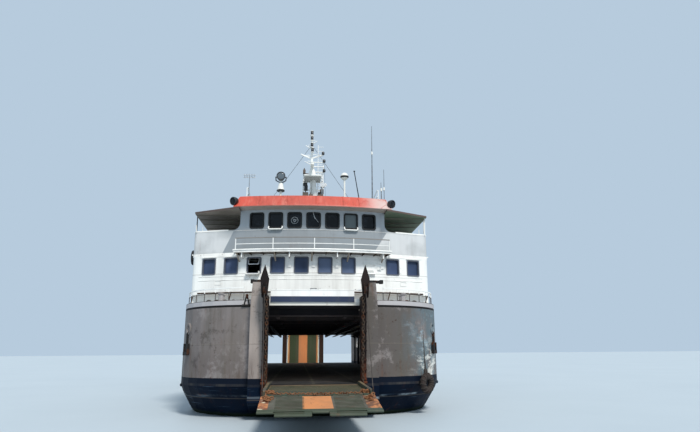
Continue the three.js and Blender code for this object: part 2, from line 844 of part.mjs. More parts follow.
// The roof: a flat slab with sloping front and sides.
function wheelhouseRoof() {
  const ring = (front, half, aft, z) => {
    const points = [];
    for (let step = -5; step <= 5; step++) {
      const x = (half * step) / 5;
      points.push([x, front + (x * x) / (2 * FRONT_RADIUS), z]);
    }
    return [...points, [half, aft, z], [-half, aft, z]];
  };
  return loft([
    ring(ROOF_FRONT, 3960, WHEELHOUSE_AFT + 300, ROOF_EDGE),
    ring(ROOF_FRONT + 40, 3950, WHEELHOUSE_AFT + 290, ROOF_EDGE + 90),
    ring(ROOF_FRONT + 500, 3700, WHEELHOUSE_AFT, ROOF_TOP - 40),
    ring(ROOF_FRONT + 620, 3620, WHEELHOUSE_AFT - 100, ROOF_TOP),
  ]);
}

// Canopy over a bridge wing, on two posts. Its front edge runs back from the roof's corner.
const CANOPY = { front: BOW + 2750, corner: BOW + 4050, outer: HALF_BEAM - 20, thick: 90 };

function wingCanopy(side) {
  const { front, corner, outer, thick } = CANOPY;
  const inner = WHEELHOUSE_HALF + GAP;
  const roof = plan(
    [
      [inner, front],
      [outer, corner],
      [outer, WING_AFT],
      [inner, WING_AFT],
    ],
    ROOF_EDGE - thick,
    ROOF_EDGE - GAP,
  );
  const posts = [BOW + 4600, WING_AFT - 100].map((y) =>
    box(outer - 48, outer - 4, y, y + 60, WING_TOP, ROOF_EDGE - thick / 2),
  );
  const half = join([roof, ...posts]);
  return side > 0 ? half : half.mirror([1, 0, 0]);
}

function wingBulwark(side) {
  const start = cornerY(BRIDGE_FRONT, HALF_BEAM, BRIDGE_CORNER) + GAP;
  const half = join([
    box(HALF_BEAM - 70, HALF_BEAM, start, WING_AFT, BRIDGE_DECK, WING_TOP),
    box(HALF_BEAM - 1100, HALF_BEAM, WING_AFT - 70, WING_AFT, BRIDGE_DECK, WING_TOP),
  ]);
  return side > 0 ? half : half.mirror([1, 0, 0]);
}

// Crew house behind the wheelhouse, open underneath onto the bridge deck.
const CREW = { half: 3600, front: WHEELHOUSE_AFT + 360, aft: -2500, top: CAR_DECK + 8350 };
const CREW_DOOR_X = -2600;

function crewHouse() {
  const { half, front, aft, top } = CREW;
  const room = box(-half + 70, half - 70, front + 70, aft - 70, BRIDGE_DECK - 10, top - 80);
  const roof = box(-half - 120, half + 120, front - 40, aft + 250, top - 80, top);
  const shellBox = join([box(-half, half, front, aft, BRIDGE_DECK, top - 40), roof]);
  const windows = Array.from({ length: 5 }, (_, i) => {
    const y = front + 900 + i * 1700;
    return box(-half - 200, half + 200, y, y + 600, BRIDGE_DECK + 1150, BRIDGE_DECK + 1750);
  });
  const door = box(
    CREW_DOOR_X,
    CREW_DOOR_X + DOOR_WIDTH,
    aft - 300,
    aft + 100,
    BRIDGE_DECK + 120,
    BRIDGE_DECK + 120 + DOOR_HEIGHT - 100,
  );
  return cut(shellBox, [room, ...windows, door]);
}

function crewDoor() {
  return box(
    CREW_DOOR_X + GAP,
    CREW_DOOR_X + DOOR_WIDTH - DOOR_GAP,
    CREW.aft - DOOR_THICK,
    CREW.aft,
    BRIDGE_DECK + 120 + DOOR_GAP,
    BRIDGE_DECK + 20 + DOOR_HEIGHT - DOOR_GAP,
  );
}

const FUNNEL = { x: 4300, y: 1500 };

function funnel(side) {
  const ring = (half, length, shift, z) =>
    [
      [-half, -length + 250],
      [-half + 200, -length],
      [half - 200, -length],
      [half, -length + 250],
      [half, length - 250],
      [half - 200, length],
      [-half + 200, length],
      [-half, length - 250],
    ].map(([x, y]) => [side * FUNNEL.x + x, FUNNEL.y + shift + y, z]);
  const casingShape = loft([
    ring(650, 1300, 0, BRIDGE_DECK),
    ring(600, 1150, 100, CAR_DECK + 9000),
    ring(560, 1000, 180, CAR_DECK + 9250),
  ]);
  const pipes = [-250, 350].map((y) =>
    bar(
      [side * FUNNEL.x, FUNNEL.y + 100 + y, CAR_DECK + 9100],
      [side * FUNNEL.x, FUNNEL.y + 250 + y, CAR_DECK + 9900],
      130,
    ),
  );
  return join([casingShape, ...pipes]);
}

// Mast and its gear.
const MAST_Y = BOW + 5500;
const MAST_TOP = CAR_DECK + 13250;
const SCANNER_Z = CAR_DECK + 10900;
const SCANNER_Y = MAST_Y - 850;
const SCANNER_REACH = 680;

// Arms of the mast: reach across, height at the mast and at the tip, bar radius.
const MAST_ARMS = [
  [-680, 11780, 12010, 45],
  [560, 11780, 12010, 45],
  [620, 11560, 11560, 35],
  [620, 11300, 11300, 35],
  [640, 10980, 10980, 35],
  [-320, 12350, 12500, 30],
];

function mast() {
  const foot = ROOF_TOP + 20;
  const base = box(-640, 640, MAST_Y - 480, MAST_Y + 160, ROOF_TOP, ROOF_TOP + 60);
  const pole = bar([-50, MAST_Y, foot], [-80, MAST_Y, MAST_TOP], 110, 50);
  const pipe = bar([120, MAST_Y - 250, foot], [30, MAST_Y - 200, CAR_DECK + 10550], 190, 110);
  const arms = MAST_ARMS.map(([reach, from, to, r]) =>
    bar([-60, MAST_Y, CAR_DECK + from], [reach, MAST_Y, CAR_DECK + to], r, r, 6),
  );
  const frame = [-560, 560].map((x) =>
    bar([x, MAST_Y + 60, foot], [x * 0.9, MAST_Y + 60, CAR_DECK + 10900], 35, 35, 6),
  );
  const rungs = [9500, 9950, 10400, 10850].map((z) =>
    bar([-540, MAST_Y + 60, CAR_DECK + z], [540, MAST_Y + 60, CAR_DECK + z], 30, 30, 6),
  );
  const shelf = box(-480, 420, SCANNER_Y - 250, MAST_Y + 100, CAR_DECK + 10420, CAR_DECK + 10480);
  const pedestal = bar([-60, SCANNER_Y, CAR_DECK + 10470], [-60, SCANNER_Y, SCANNER_Z - 60], 130);
  return join([base, pole, pipe, ...arms, ...frame, ...rungs, shelf, pedestal]);
}

function radarScanner() {
  const beam = box(
    -130,
    10,
    SCANNER_Y - SCANNER_REACH,
    SCANNER_Y + SCANNER_REACH,
    SCANNER_Z,
    SCANNER_Z + 130,
  );
  const hub = bar([-60, SCANNER_Y, SCANNER_Z - 60 + GAP], [-60, SCANNER_Y, SCANNER_Z + 20], 90);
  return join([beam, hub]);
}

const SEARCHLIGHT = [-1720, BOW + 4500];
const DOME = [1720, BOW + 5000];

function searchlight() {
  const [x, y] = SEARCHLIGHT;
  const foot = bar([x, y, ROOF_TOP], [x, y, CAR_DECK + 9650], 60);
  const cone = bar([x, y, CAR_DECK + 9600], [x, y, CAR_DECK + 9950], 190, 110, 12);
  const stem = bar([x, y, CAR_DECK + 9900], [x, y, CAR_DECK + 10150], 50);
  const lamp = bar([x, y - 170, CAR_DECK + 10310], [x, y + 170, CAR_DECK + 10310], 215, 180, 12);
  return join([foot, cone, stem, lamp]);
}

function satelliteDome() {
  const [x, y] = DOME;
  const pole = bar([x, y, ROOF_TOP], [x, y, CAR_DECK + 10500], 50);
  const dish = new THREE.SphereGeometry(215, 12, 8);
  dish.rotateX(Math.PI / 2);
  return join([pole, solid(dish.translate(x, y, CAR_DECK + 10600))]);
}

// Aerials on one foot bar: x at the foot and at the top, top height, radius at the foot.
const AERIALS = [
  [-3390, -3400, 10380, 28],
  [2530, 2230, 10760, 34],
  [3200, 3230, 13500, 45],
  [3700, 3690, 10200, 40],
  [3850, 3860, 10950, 24],
];

function aerials() {
  const y = BOW + 4700;
  const foot = box(-3450, 3900, y - 40, y + 40, ROOF_TOP, ROOF_TOP + 50);
  const poles = AERIALS.map(([x, topX, top, r]) =>
    bar([x, y, ROOF_TOP + 20], [topX, y, CAR_DECK + top], r, 14, 6),
  );
  return join([foot, ...poles]);
}

// Rails of the bridge deck and of the open decks aft.
const STAIR_GAP = 560;

function bridgeRail(side) {
  const x = side * (HALF_BEAM - 60);
  return handrail(
    [
      [x, WING_AFT + 60],
      [x, BRIDGE_AFT - 60],
      [side * STAIR_GAP, BRIDGE_AFT - 60],
    ],
    BRIDGE_DECK,
    [1000, 660, 330],
    2000,
  );
}

function aftRail() {
  const x = 5800;
  return handrail(
    [
      [x, SALOON_AFT + 80],
      [x, STERN - 80],
      [-x, STERN - 80],
      [-x, SALOON_AFT + 80],
    ],
    PASSENGER_DECK,
    [1050, 700, 350],
    2000,
  );
}

// Stern portal: two posts and the header between them.
function sternPortal() {
  const posts = [-1, 1].map((side) =>
    box(side * STERN_POST.inner, side * STERN_POST.outer, STERN - 400, STERN, CAR_DECK, HULL_TOP),
  );
  const header = box(-5700, 5700, STERN - 500, STERN - 380, HEADER_UNDER + 30, HULL_TOP);
  return join([...posts, header]);
}

// Bow ramp: hinge barrel, deck plate falling gently forward, kerbs, and cheeks for the flap's barrel.
const CHEEK = 50;
const KERB = 110;

function bowRamp() {
  const { y, z } = BOW_HINGE;
  const leaf = profile(
    [
      [FLAP_HINGE.y + 130, FLAP_HINGE.z + 110],
      [FLAP_HINGE.y + 130, FLAP_HINGE.z - 110],
      [BOW - 700, z - 200],
      [BOW - 80, z - 80],
      [BOW - 60, CAR_DECK - 25],
    ],
    -RAMP_HALF,
    RAMP_HALF,
  );
  const barrel = bar([-RAMP_HALF, y, z], [RAMP_HALF, y, z], 95, 95, 12);
  const kerbs = [-1, 1].map((side) =>
    profile(
      [
        [FLAP_HINGE.y + 130, FLAP_HINGE.z + 240],
        [FLAP_HINGE.y + 130, FLAP_HINGE.z],
        [BOW - 400, z],
        [BOW - 400, CAR_DECK + 120],
      ],
      side > 0 ? RAMP_HALF - KERB : -RAMP_HALF,
      side > 0 ? RAMP_HALF : -RAMP_HALF + KERB,
    ),
  );
  const cheeks = [-1, 1].map((side) =>
    box(
      side * (RAMP_HALF - CHEEK),
      side * RAMP_HALF,
      FLAP_HINGE.y - 90,
      FLAP_HINGE.y + 200,
      FLAP_HINGE.z - 90,
      FLAP_HINGE.z + 90,
    ),
  );
  return join([leaf, barrel, ...kerbs, ...cheeks]);
}

// Bow flap: full-width plate and two longer track tongues.
function bowFlap() {
  const { y, z } = FLAP_HINGE;
  const plate = (end, x0, x1) =>
    profile(
      [
        [end.y, end.z],
        [end.y, end.z - 60],
        [y - 150, z - 70],
        [y - 150, z + 90],
      ],
      Math.min(x0, x1),
      Math.max(x0, x1),
    );
  const inner = RAMP_HALF - CHEEK - GAP;
  const barrel = bar([-inner, y, z], [inner, y, z], 80, 80, 12);
  const link = box(-inner, inner, y - 180, y, z - 50, z + 60);
  const whole = plate(FLAP_END, -RAMP_HALF, RAMP_HALF);
  const tongues = [-1, 1].map((side) =>
    plate(TONGUE_END, side * TONGUE_END.inner, side * TONGUE_END.outer),
  );
  return join([barrel, link, whole, ...tongues]);
}

// Stern ramp, stowed upright, with a tapered toe.
function sternRamp() {
  const { y, z } = STERN_HINGE;
  const toeStart = STERN_RAMP_TOP - 1000;
  const leaf = box(-RAMP_HALF, RAMP_HALF, y - 110, y + 110, z, toeStart);
  const toe = profile(
    [
      [y - 110, toeStart],
      [y + 110, toeStart],
      [y - 40, STERN_RAMP_TOP],
      [y - 90, STERN_RAMP_TOP],
    ],
    -RAMP_HALF,
    RAMP_HALF,
  );
  const barrel = bar([-RAMP_HALF, y, z], [RAMP_HALF, y, z], 110, 110, 12);
  return join([leaf, toe, barrel]);
}

// Four-bladed screw on its shaft end.
const BLADES = 4;
const HUB_HALF = 260;

function screw(side) {
  const x = side * SCREW_X;
  const [front, aft] = [SCREW_Y - HUB_HALF + GAP, SCREW_Y + HUB_HALF];
  const hub = bar([x, front, SCREW_Z], [x, aft, SCREW_Z], 130, 70, 10);
  const blades = Array.from({ length: BLADES }, (_, i) => {
    const outline = new THREE.Shape();
    outline.moveTo(-90, 60);
    outline.quadraticCurveTo(-300, 420, -120, SCREW_RADIUS - 20);
    outline.quadraticCurveTo(80, SCREW_RADIUS + 10, 190, SCREW_RADIUS - 140);
    outline.quadraticCurveTo(260, 360, 90, 60);
    const blade = new THREE.ExtrudeGeometry(outline, {
      depth: 36,
      bevelEnabled: false,
      curveSegments: 4,
    });
    blade.translate(0, 0, -18);
    blade.rotateY(side * 0.45);
    blade.rotateX(Math.PI / 2);
    blade.rotateY((i * 2 * Math.PI) / BLADES);
    return solid(blade.translate(x, SCREW_Y, SCREW_Z));
  });
  return join([hub, ...blades]);
}

function rudder(side) {
  const x = side * SCREW_X;
  const blade = plan(
    [
      [x - 30, RUDDER_Y - 350],
      [x + 30, RUDDER_Y - 350],
      [x + 70, RUDDER_Y - 100],
      [x + 15, RUDDER_Y + 750],
      [x - 15, RUDDER_Y + 750],
      [x - 70, RUDDER_Y - 100],
    ],
    KEEL + 50,
    -480,
  );
  const stock = bar([x, RUDDER_Y, -500], [x, RUDDER_Y, -95], 65, 65, 10);
  return join([blade, stock]);
}

// Anchor windlass: bed, shaft with its warping ends, and the cheeks of two chain wheels.
const WINDLASS = { y: BOW + 1950, z: PASSENGER_DECK + 340, cheek: 240, shaft: 110, half: 1100 };

function windlass() {
  const { y, z, cheek, shaft, half } = WINDLASS;
  const bed = box(-900, 900, y - 300, y + 300, PASSENGER_DECK, z - 200);
  const drum = bar([-half, y, z], [half, y, z], shaft, shaft, 10);
  const cheeks = [-750, -150, 150, 750].map((x) =>
    bar([x - 40, y, z], [x + 40, y, z], cheek, cheek, 10),
  );
  return join([bed, drum, ...cheeks]);
}

// Stockless anchor, stowed against a flat of the shell.
const ANCHOR_FACET = 5;

function anchor(side) {
  const line = halfOutline(...DECK_LINE);
  const [a, b] = [line[ANCHOR_FACET], line[ANCHOR_FACET + 1]];
  const shank = box(-45, 45, -100, -20, -350, 450);
  const crown = box(-240, 240, -140, -10 - GAP, -480, -330);
  const flukes = [-200, 200].map((x) => box(x - 45, x + 45, -130, -30, -480, 20));
  const shackle = bar([0, -70, 450], [0, 20, 540], 40, 40, 6);
  const half = join([shank, crown, ...flukes, shackle.intersect(box(-500, 500, -500, -GAP, 0, 900))])
    .rotate([0, 0, (Math.atan2(b[1] - a[1], b[0] - a[0]) * 180) / Math.PI])
    .translate([(a[0] + b[0]) / 2, (a[1] + b[1]) / 2, CAR_DECK + 1640]);
  return side > 0 ? half : half.mirror([1, 0, 0]);
}

// Inflatable raft in its canister, on two cradles.
const RAFT = { x: 4900, front: 5300, aft: 6700, z: BRIDGE_DECK + 520, radius: 330 };

function liferaft(side) {
  const { front, aft, z, radius } = RAFT;
  const x = side * RAFT.x;
  const barrel = bar([x, front, z], [x, aft, z], radius, radius, 12);
  const feet = [front + 200, aft - 350].map((y) =>
    box(x - 300, x + 300, y, y + 150, BRIDGE_DECK, z - 120),
  );
  return join([barrel, ...feet]);
}

// The ship.

add("hull_lower", lowerHull(), COLOURS.navy);
add("car_deck", carDeck(), COLOURS.deck);
addPair("shell", shell, COLOURS.grey);
addPair("bow_post", bowPost, COLOURS.black);
add("bow_header", bowHeader(), COLOURS.grey);
add("deck_beams", deckBeams(), COLOURS.black);
addPair("casing", casing, COLOURS.white);
add("passenger_deck", passengerDeck(), COLOURS.white);
add("sign_board", signBoard(), COLOURS.navy);
add("saloon_front", saloonFront(), COLOURS.white);
add("saloon_front_glass", saloonFrontGlass(), COLOURS.glass);
addPair("saloon_side", saloonSide, COLOURS.white);
addPair("saloon_glass", saloonSideGlass, COLOURS.glass);
add("saloon_aft", saloonAft(), COLOURS.white);
addPair("saloon_door", saloonDoor, COLOURS.brown);
add("bridge_deck", bridgeDeck(), COLOURS.white);
add("ledge_rail", ledgeRail(), COLOURS.white);
add("bridge_front", bridgeFront(), COLOURS.grey);
add("bridge_front_glass", bridgeFrontGlass(), COLOURS.glass);
addPair("wheelhouse_side", wheelhouseSide, COLOURS.white);
addPair("wheelhouse_door", wheelhouseDoor, COLOURS.brown);
add("wheelhouse_back", wheelhouseBack(), COLOURS.white);
add("wheelhouse_roof", wheelhouseRoof(), COLOURS.orange);
addPair("wing_canopy", wingCanopy, COLOURS.brown);
addPair("wing_bulwark", wingBulwark, COLOURS.white);
add("crew_house", crewHouse(), COLOURS.white);
add("crew_door", crewDoor(), COLOURS.brown);
addPair("funnel", funnel, COLOURS.orange);
add("mast", mast(), COLOURS.white);
add("radar_scanner", radarScanner(), COLOURS.white);
add("searchlight", searchlight(), COLOURS.white);
add("satellite_dome", satelliteDome(), COLOURS.white);
add("aerials", aerials(), COLOURS.white);
addPair("bridge_rail", bridgeRail, COLOURS.white);
add("aft_rail", aftRail(), COLOURS.white);
add("stern_portal", sternPortal(), COLOURS.brown);
add("bow_ramp", bowRamp(), COLOURS.green);
add("bow_flap", bowFlap(), COLOURS.green);
add("stern_ramp", sternRamp(), COLOURS.green);
addPair("screw", screw, COLOURS.bronze);
addPair("rudder", rudder, COLOURS.navy);
add("windlass", windlass(), COLOURS.steel);
addPair("anchor", anchor, COLOURS.black);
addPair("liferaft", liferaft, COLOURS.raft);

export default group;
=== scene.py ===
"""Dresses the half-size model of a drive-through passenger and vehicle ferry.

Places in this file are those of the full-size ship, in metres: +Z up from the waterline, -Y towards
the bow, +X to port, with the origin amidships. Every piece is brought to half size as it is made.
Only the finishes are laid out in the metres of the half-size model.
"""

import math
import random

import bmesh
import bpy
from mathutils import Matrix, Vector


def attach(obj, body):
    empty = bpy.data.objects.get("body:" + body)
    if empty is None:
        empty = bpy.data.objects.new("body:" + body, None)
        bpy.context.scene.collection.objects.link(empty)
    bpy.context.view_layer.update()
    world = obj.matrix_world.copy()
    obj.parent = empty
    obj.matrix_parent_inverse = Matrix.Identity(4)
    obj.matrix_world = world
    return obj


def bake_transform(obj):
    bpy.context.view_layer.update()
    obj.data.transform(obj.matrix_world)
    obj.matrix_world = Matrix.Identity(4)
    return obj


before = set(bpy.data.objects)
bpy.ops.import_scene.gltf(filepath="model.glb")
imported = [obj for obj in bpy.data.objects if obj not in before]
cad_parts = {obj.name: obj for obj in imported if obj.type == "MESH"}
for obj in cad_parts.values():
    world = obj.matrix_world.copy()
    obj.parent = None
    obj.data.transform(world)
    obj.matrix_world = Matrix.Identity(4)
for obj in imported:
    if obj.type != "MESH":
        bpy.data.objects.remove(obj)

bl_info = {
    "name": "Ferry dressing",
    "version": (1, 0, 0),
    "blender": (4, 5, 0),
    "location": "View3D > Sidebar > Ferry",
    "description": "Paint, windows, deck gear and studio for a half-size drive-through ferry",
    "category": "Object",
}

MODEL_SCALE = 0.5
BOW, STERN = -21.5, 21.5
CAR_DECK, HULL_TOP, PASSENGER_DECK = 1.4, 4.7, 4.85
BRIDGE_DECK, ROOF_EDGE, ROOF_TOP, CREW_ROOF = 7.44, 9.59, 10.3, 9.75
FRONT_RADIUS = 16.0
SALOON_FRONT, BRIDGE_FRONT, LEDGE_FRONT = BOW + 2.93, BOW + 3.165, BOW + 2.39
HOUSE_HALF, OPENING_HALF, WHEELHOUSE_HALF, EAR_OUTER = 5.95, 1.9, 3.65, 2.68
FLAP_HINGE = (BOW - 4.45, CAR_DECK - 0.21)
MAST_Y, MAST_X, SCANNER_Y = BOW + 5.5, -0.07, BOW + 4.65
SALOON_SIDE_START, SALOON_AFT = BOW + 4.296, 8.0
HULL_HALF, TAPER_START, TAPER_LENGTH, TAPER = 6.0, 12.04, 9.46, 0.1
SHOULDER_WIDE, SHOULDER_LONG, SHOULDER_AFT = 3.65, 3.3, -17.7
SALOON_MIDDLE, BRIDGE_MIDDLE = CAR_DECK + 5.3525, CAR_DECK + 7.645
BLANK_WINDOW, OPEN_WINDOW = 7, 2
QUARTER = math.pi / 2
SHARP_ANGLE, BEVEL_ANGLE = math.radians(38), math.radians(40)
SIDES = (1, -1)
TIP_X, TIP_Y = (Matrix.Rotation(QUARTER, 4, axis) for axis in "XY")

CAMERA_PLACE = (-0.361, -22.1645, 1.341)
CAMERA_TURN, CAMERA_PITCH, CAMERA_ROLL = (math.radians(a) for a in (5.609, 14.217, 0.397))
FOCAL_PIXELS, PHOTO_WIDTH, SENSOR = 534.04, 700, 36


def tint(code, alpha=1.0):
    """A linear colour from a six-digit code. Other colours pass through."""
    if not isinstance(code, str):
        return tuple(code)
    channels = [int(code[i : i + 2], 16) / 255 for i in (0, 2, 4)]
    return tuple(c / 12.92 if c <= 0.04045 else ((c + 0.055) / 1.055) ** 2.4 for c in channels) + (alpha,)


def scaled(colour, share, base=0.0):
    return tuple(min(1, c * share + base) for c in tint(colour)[:3]) + (1,)


# Sizes and colours that a user would change.


def shade(name, code, description):
    return bpy.props.FloatVectorProperty(
        name=name, description=description, subtype="COLOR", size=4, min=0, max=1, default=tint(code)
    )


def amount(name, default, description, **more):
    return bpy.props.FloatProperty(name=name, description=description, min=0, default=default, **more)


def length(name, default, description):
    return amount(name, default, description, subtype="DISTANCE")


class FerryPaintSettings(bpy.types.PropertyGroup):
    hull_grey: shade("Hull grey", "7D7776", "Upper hull, starboard and bow")
    hull_teal: shade("Hull teal", "5C6E76", "Upper hull at the port shoulder, where an older coat shows")
    hull_navy: shade("Hull navy", "06101F", "Lower hull")
    house_white: shade("House white", "F2F2EE", "Saloon, crew house and rails")
    # Bridge grey is painted shade: it stands for the shadow on the wheelhouse front, whose own paint is as
    # light as its ends.
    bridge_grey: shade("Bridge grey", "8C9195", "Wheelhouse front")
    roof_orange: shade("Roof orange", "B84E3E", "Wheelhouse roof")
    deck_green: shade("Deck green", "4B5F4F", "Open decks")
    ramp_green: shade("Ramp green", "39402F", "Ramp lips and edges")
    ramp_orange: shade("Ramp orange", "C47F4C", "Ramp panels")
    rust: shade("Rust", "6B3A1E", "Rust runs and spots")
    wear: amount("Wear", 1.0, "Strength of rust", subtype="FACTOR", max=1)


class FerryFittingSettings(bpy.types.PropertyGroup):
    gasket: length("Gasket width", 0.055, "Rubber round each window, full size")
    link: length("Chain link", 0.17, "Length of one link of the chains at the bow posts, full size")
    wire: length("Wire radius", 0.014, "Radius of the hoist wires, full size")
    bead: length("Weld bead", 0.012, "Height of the weld seams, full size")


class FerryStageSettings(bpy.types.PropertyGroup):
    sun: amount("Sun", 3.3, "Strength of the main light")
    sky: amount("Sky", 1.0, "Strength of the soft light all round")
    inside: amount("Deck light", 40.0, "Light on the vehicle deck")
    floor: length("Floor size", 600.0, "Side of the square floor")


# Shader maths.


class Field:
    """A value that changes over a surface: a shader socket that can be reckoned with."""

    def __init__(self, coat, socket):
        self.coat, self.socket = coat, socket

    def __add__(self, other):
        return self.coat.math("ADD", self, other)

    def __sub__(self, other):
        return self.coat.math("SUBTRACT", self, other)

    def __mul__(self, other):
        return self.coat.math("MULTIPLY", self, other)

    __radd__, __rmul__ = __add__, __mul__

    def __rsub__(self, other):
        return self.coat.math("SUBTRACT", other, self)

    def __abs__(self):
        return self.coat.math("ABSOLUTE", self, 0.0)

    def __mod__(self, other):
        return self.coat.math("FLOORED_MODULO", self, other)

    def rise(self, low, high):
        """0 below low, 1 above high, with a smooth rise between. Falls where high is the lesser."""
        if high < low:
            return 1 - self.rise(high, low)
        return self.coat.node(
            "ShaderNodeMapRange",
            {"interpolation_type": "SMOOTHSTEP"},
            {"Value": self, "From Min": low, "From Max": high},
        )

    def band(self, middle, width, soft=0.01):
        """1 near a middle value, 0 beyond half of a width."""
        return abs(self - middle).rise(width / 2 + soft, width / 2)


class Coat:
    """A material in the making. colour is what shows so far."""

    def __init__(self, name, colour=None):
        self.material, self.colour = bpy.data.materials.new(name), colour
        self.material.use_nodes = True
        self.tree = self.material.node_tree
        self.shader = self.tree.nodes["Principled BSDF"]
        self.place = self.node("ShaderNodeTexCoord", output=3)
        self.x, self.y, self.z = (self.part(self.place, axis) for axis in range(3))
        self.up = self.part(self.node("ShaderNodeTexCoord", output=1), 2)

    def node(self, kind, settings=None, values=None, output=0):
        made = self.tree.nodes.new(kind)
        for key, value in (settings or {}).items():
            setattr(made, key, value)
        for key, value in (values or {}).items():
            self.feed(made.inputs[key], value)
        return Field(self, made.outputs[output])

    def feed(self, socket, value):
        if isinstance(value, Field):
            self.tree.links.new(value.socket, socket)
        else:
            socket.default_value = tint(value) if isinstance(value, str) else value

    def part(self, vector, axis):
        return self.node("ShaderNodeSeparateXYZ", {}, {0: vector}, output=axis)

    def math(self, operation, a, b):
        return self.node("ShaderNodeMath", {"operation": operation}, {0: a, 1: b})

    def noise(self, scale, detail=3.0, rough=0.55, stretch=None):
        """Noise, or with a stretch noise whose scale differs from axis to axis."""
        place = self.place
        if stretch:
            place = self.node("ShaderNodeVectorMath", {"operation": "MULTIPLY"}, {0: place, 1: stretch})
        values = {"Vector": place, "Scale": scale, "Detail": detail, "Roughness": rough}
        return self.node("ShaderNodeTexNoise", {}, values)

    def mix(self, first, second, share):
        return self.node("ShaderNodeMix", {"data_type": "RGBA"}, {0: share, 6: first, 7: second}, output=2)

    def lay(self, colour, mask):
        """Lays a colour over what shows, where the mask is above 0."""
        self.colour = self.mix(self.colour, colour, mask)

    def most(self, a, b):
        return self.math("MAXIMUM", a, b)

    def finish(self, rough, height=None, metal=0.0, depth=0.004, strength=0.5, **fixed):
        """Joins up the shader. Numbers in fixed go on sockets that stay the same all over."""
        self.feed(self.shader.inputs["Base Color"], self.colour)
        self.feed(self.shader.inputs["Roughness"], rough)
        self.feed(self.shader.inputs["Metallic"], metal)
        for key, value in fixed.items():
            self.shader.inputs[key.replace("_", " ")].default_value = value
        if height is not None:
            bump = self.node("ShaderNodeBump", {}, {"Strength": strength, "Distance": depth, "Height": height})
            self.feed(self.shader.inputs["Normal"], bump)
        return self.material


def painted(
    name, colour, shadow, rust, runs, spots, grime, rough, extra=None, seams=None, gloss=0.5, last=None
):
    """Ship's paint over steel plate: faded patches, rust runs, rust spots, grime and shallow dents."""
    coat = Coat(name, colour)
    broad = coat.noise(0.55, 4)
    fine = coat.noise(11, 6, 0.65)
    blotch = coat.noise(2.3, 5, 0.6)
    coat.lay(shadow, broad.rise(0.38, 0.68) * 0.6 + fine * 0.12)
    if extra:
        extra(coat)
    flow = coat.noise(1.0, 5, 0.6, (9, 9, 0.5))
    spot_mask = coat.noise(6.5, 9, 0.72).rise(0.6, 0.68) * blotch.rise(0.4, 0.62) * spots
    coat.lay("5C564C", coat.noise(1.0, 4, 0.6, (3.5, 3.5, 0.35)).rise(0.4, 0.75) * grime)
    coat.lay(rust, flow.rise(0.54, 0.74) * blotch.rise(0.42, 0.66) * runs)
    coat.lay("3A2213", spot_mask)
    height = broad * 1.6 + fine * 0.1 + spot_mask * -0.35
    if seams:
        across, upward = seams
        plate = coat.most((coat.y % across).band(across / 2, 0.012), (coat.z % upward).band(upward / 2, 0.012))
        height = height + plate * 0.5
        coat.lay("6E675E", plate * 0.3)
    if last:
        last(coat)
    rough = fine * 0.2 + rough + spot_mask * 0.3
    return coat.finish(rough, height, depth=0.012, strength=0.35, Specular_IOR_Level=gloss)


def steel(name, colour, rough, metal=1.0, rust=0.0):
    """Bare, galvanised or cast metal with scratches and rust."""
    coat = Coat(name, colour)
    patch = coat.noise(7, 8, 0.65)
    scratch = coat.noise(1.0, 3, 0.5, (90, 12, 12))
    rusty = patch.rise(0.5, 0.62) * rust
    coat.lay(scaled(colour, 0.6), coat.noise(30, 4).rise(0.4, 0.65))
    coat.lay("5A3218", rusty)
    return coat.finish(patch * 0.25 + rough + rusty * 0.3, scratch * 0.2 + patch, metal, depth=0.003)


def moulded(name, colour, rough=0.4, grain=60.0, worn=0.25, coat_weight=0.0):
    """Rubber, plastic or moulded shell: fine grain, dust and scuffs."""
    coat = Coat(name, colour)
    dust = coat.noise(3.2, 6, 0.65).rise(0.45, 0.75) * worn
    coat.lay(scaled(colour, 1.5, 0.06), dust)
    height = coat.noise(grain, 3) * 0.4 + coat.noise(4, 3)
    return coat.finish(dust * 0.4 + rough, height, depth=0.002, Coat_Weight=coat_weight)


def timber(name, colour):
    coat = Coat(name, colour)
    grain = coat.noise(1.0, 8, 0.65, (6, 60, 60))
    coat.lay(scaled(colour, 0.45), grain.rise(0.35, 0.7))
    return coat.finish(grain * 0.3 + 0.45, grain, depth=0.002)


def pane(name, colour, glow, extra=None):
    """Dark tinted glass: salt haze and a soft change of tone from pane to pane."""
    coat = Coat(name, colour)
    haze = coat.noise(5, 6, 0.7).rise(0.5, 0.8)
    coat.lay(glow, coat.noise(0.9, 2).rise(0.35, 0.7))
    coat.lay("8890A0", haze * 0.12)
    if extra:
        extra(coat)
    return coat.finish(haze * 0.25 + 0.06, coat.noise(0.8, 2), depth=0.01, strength=0.1, IOR=1.33)


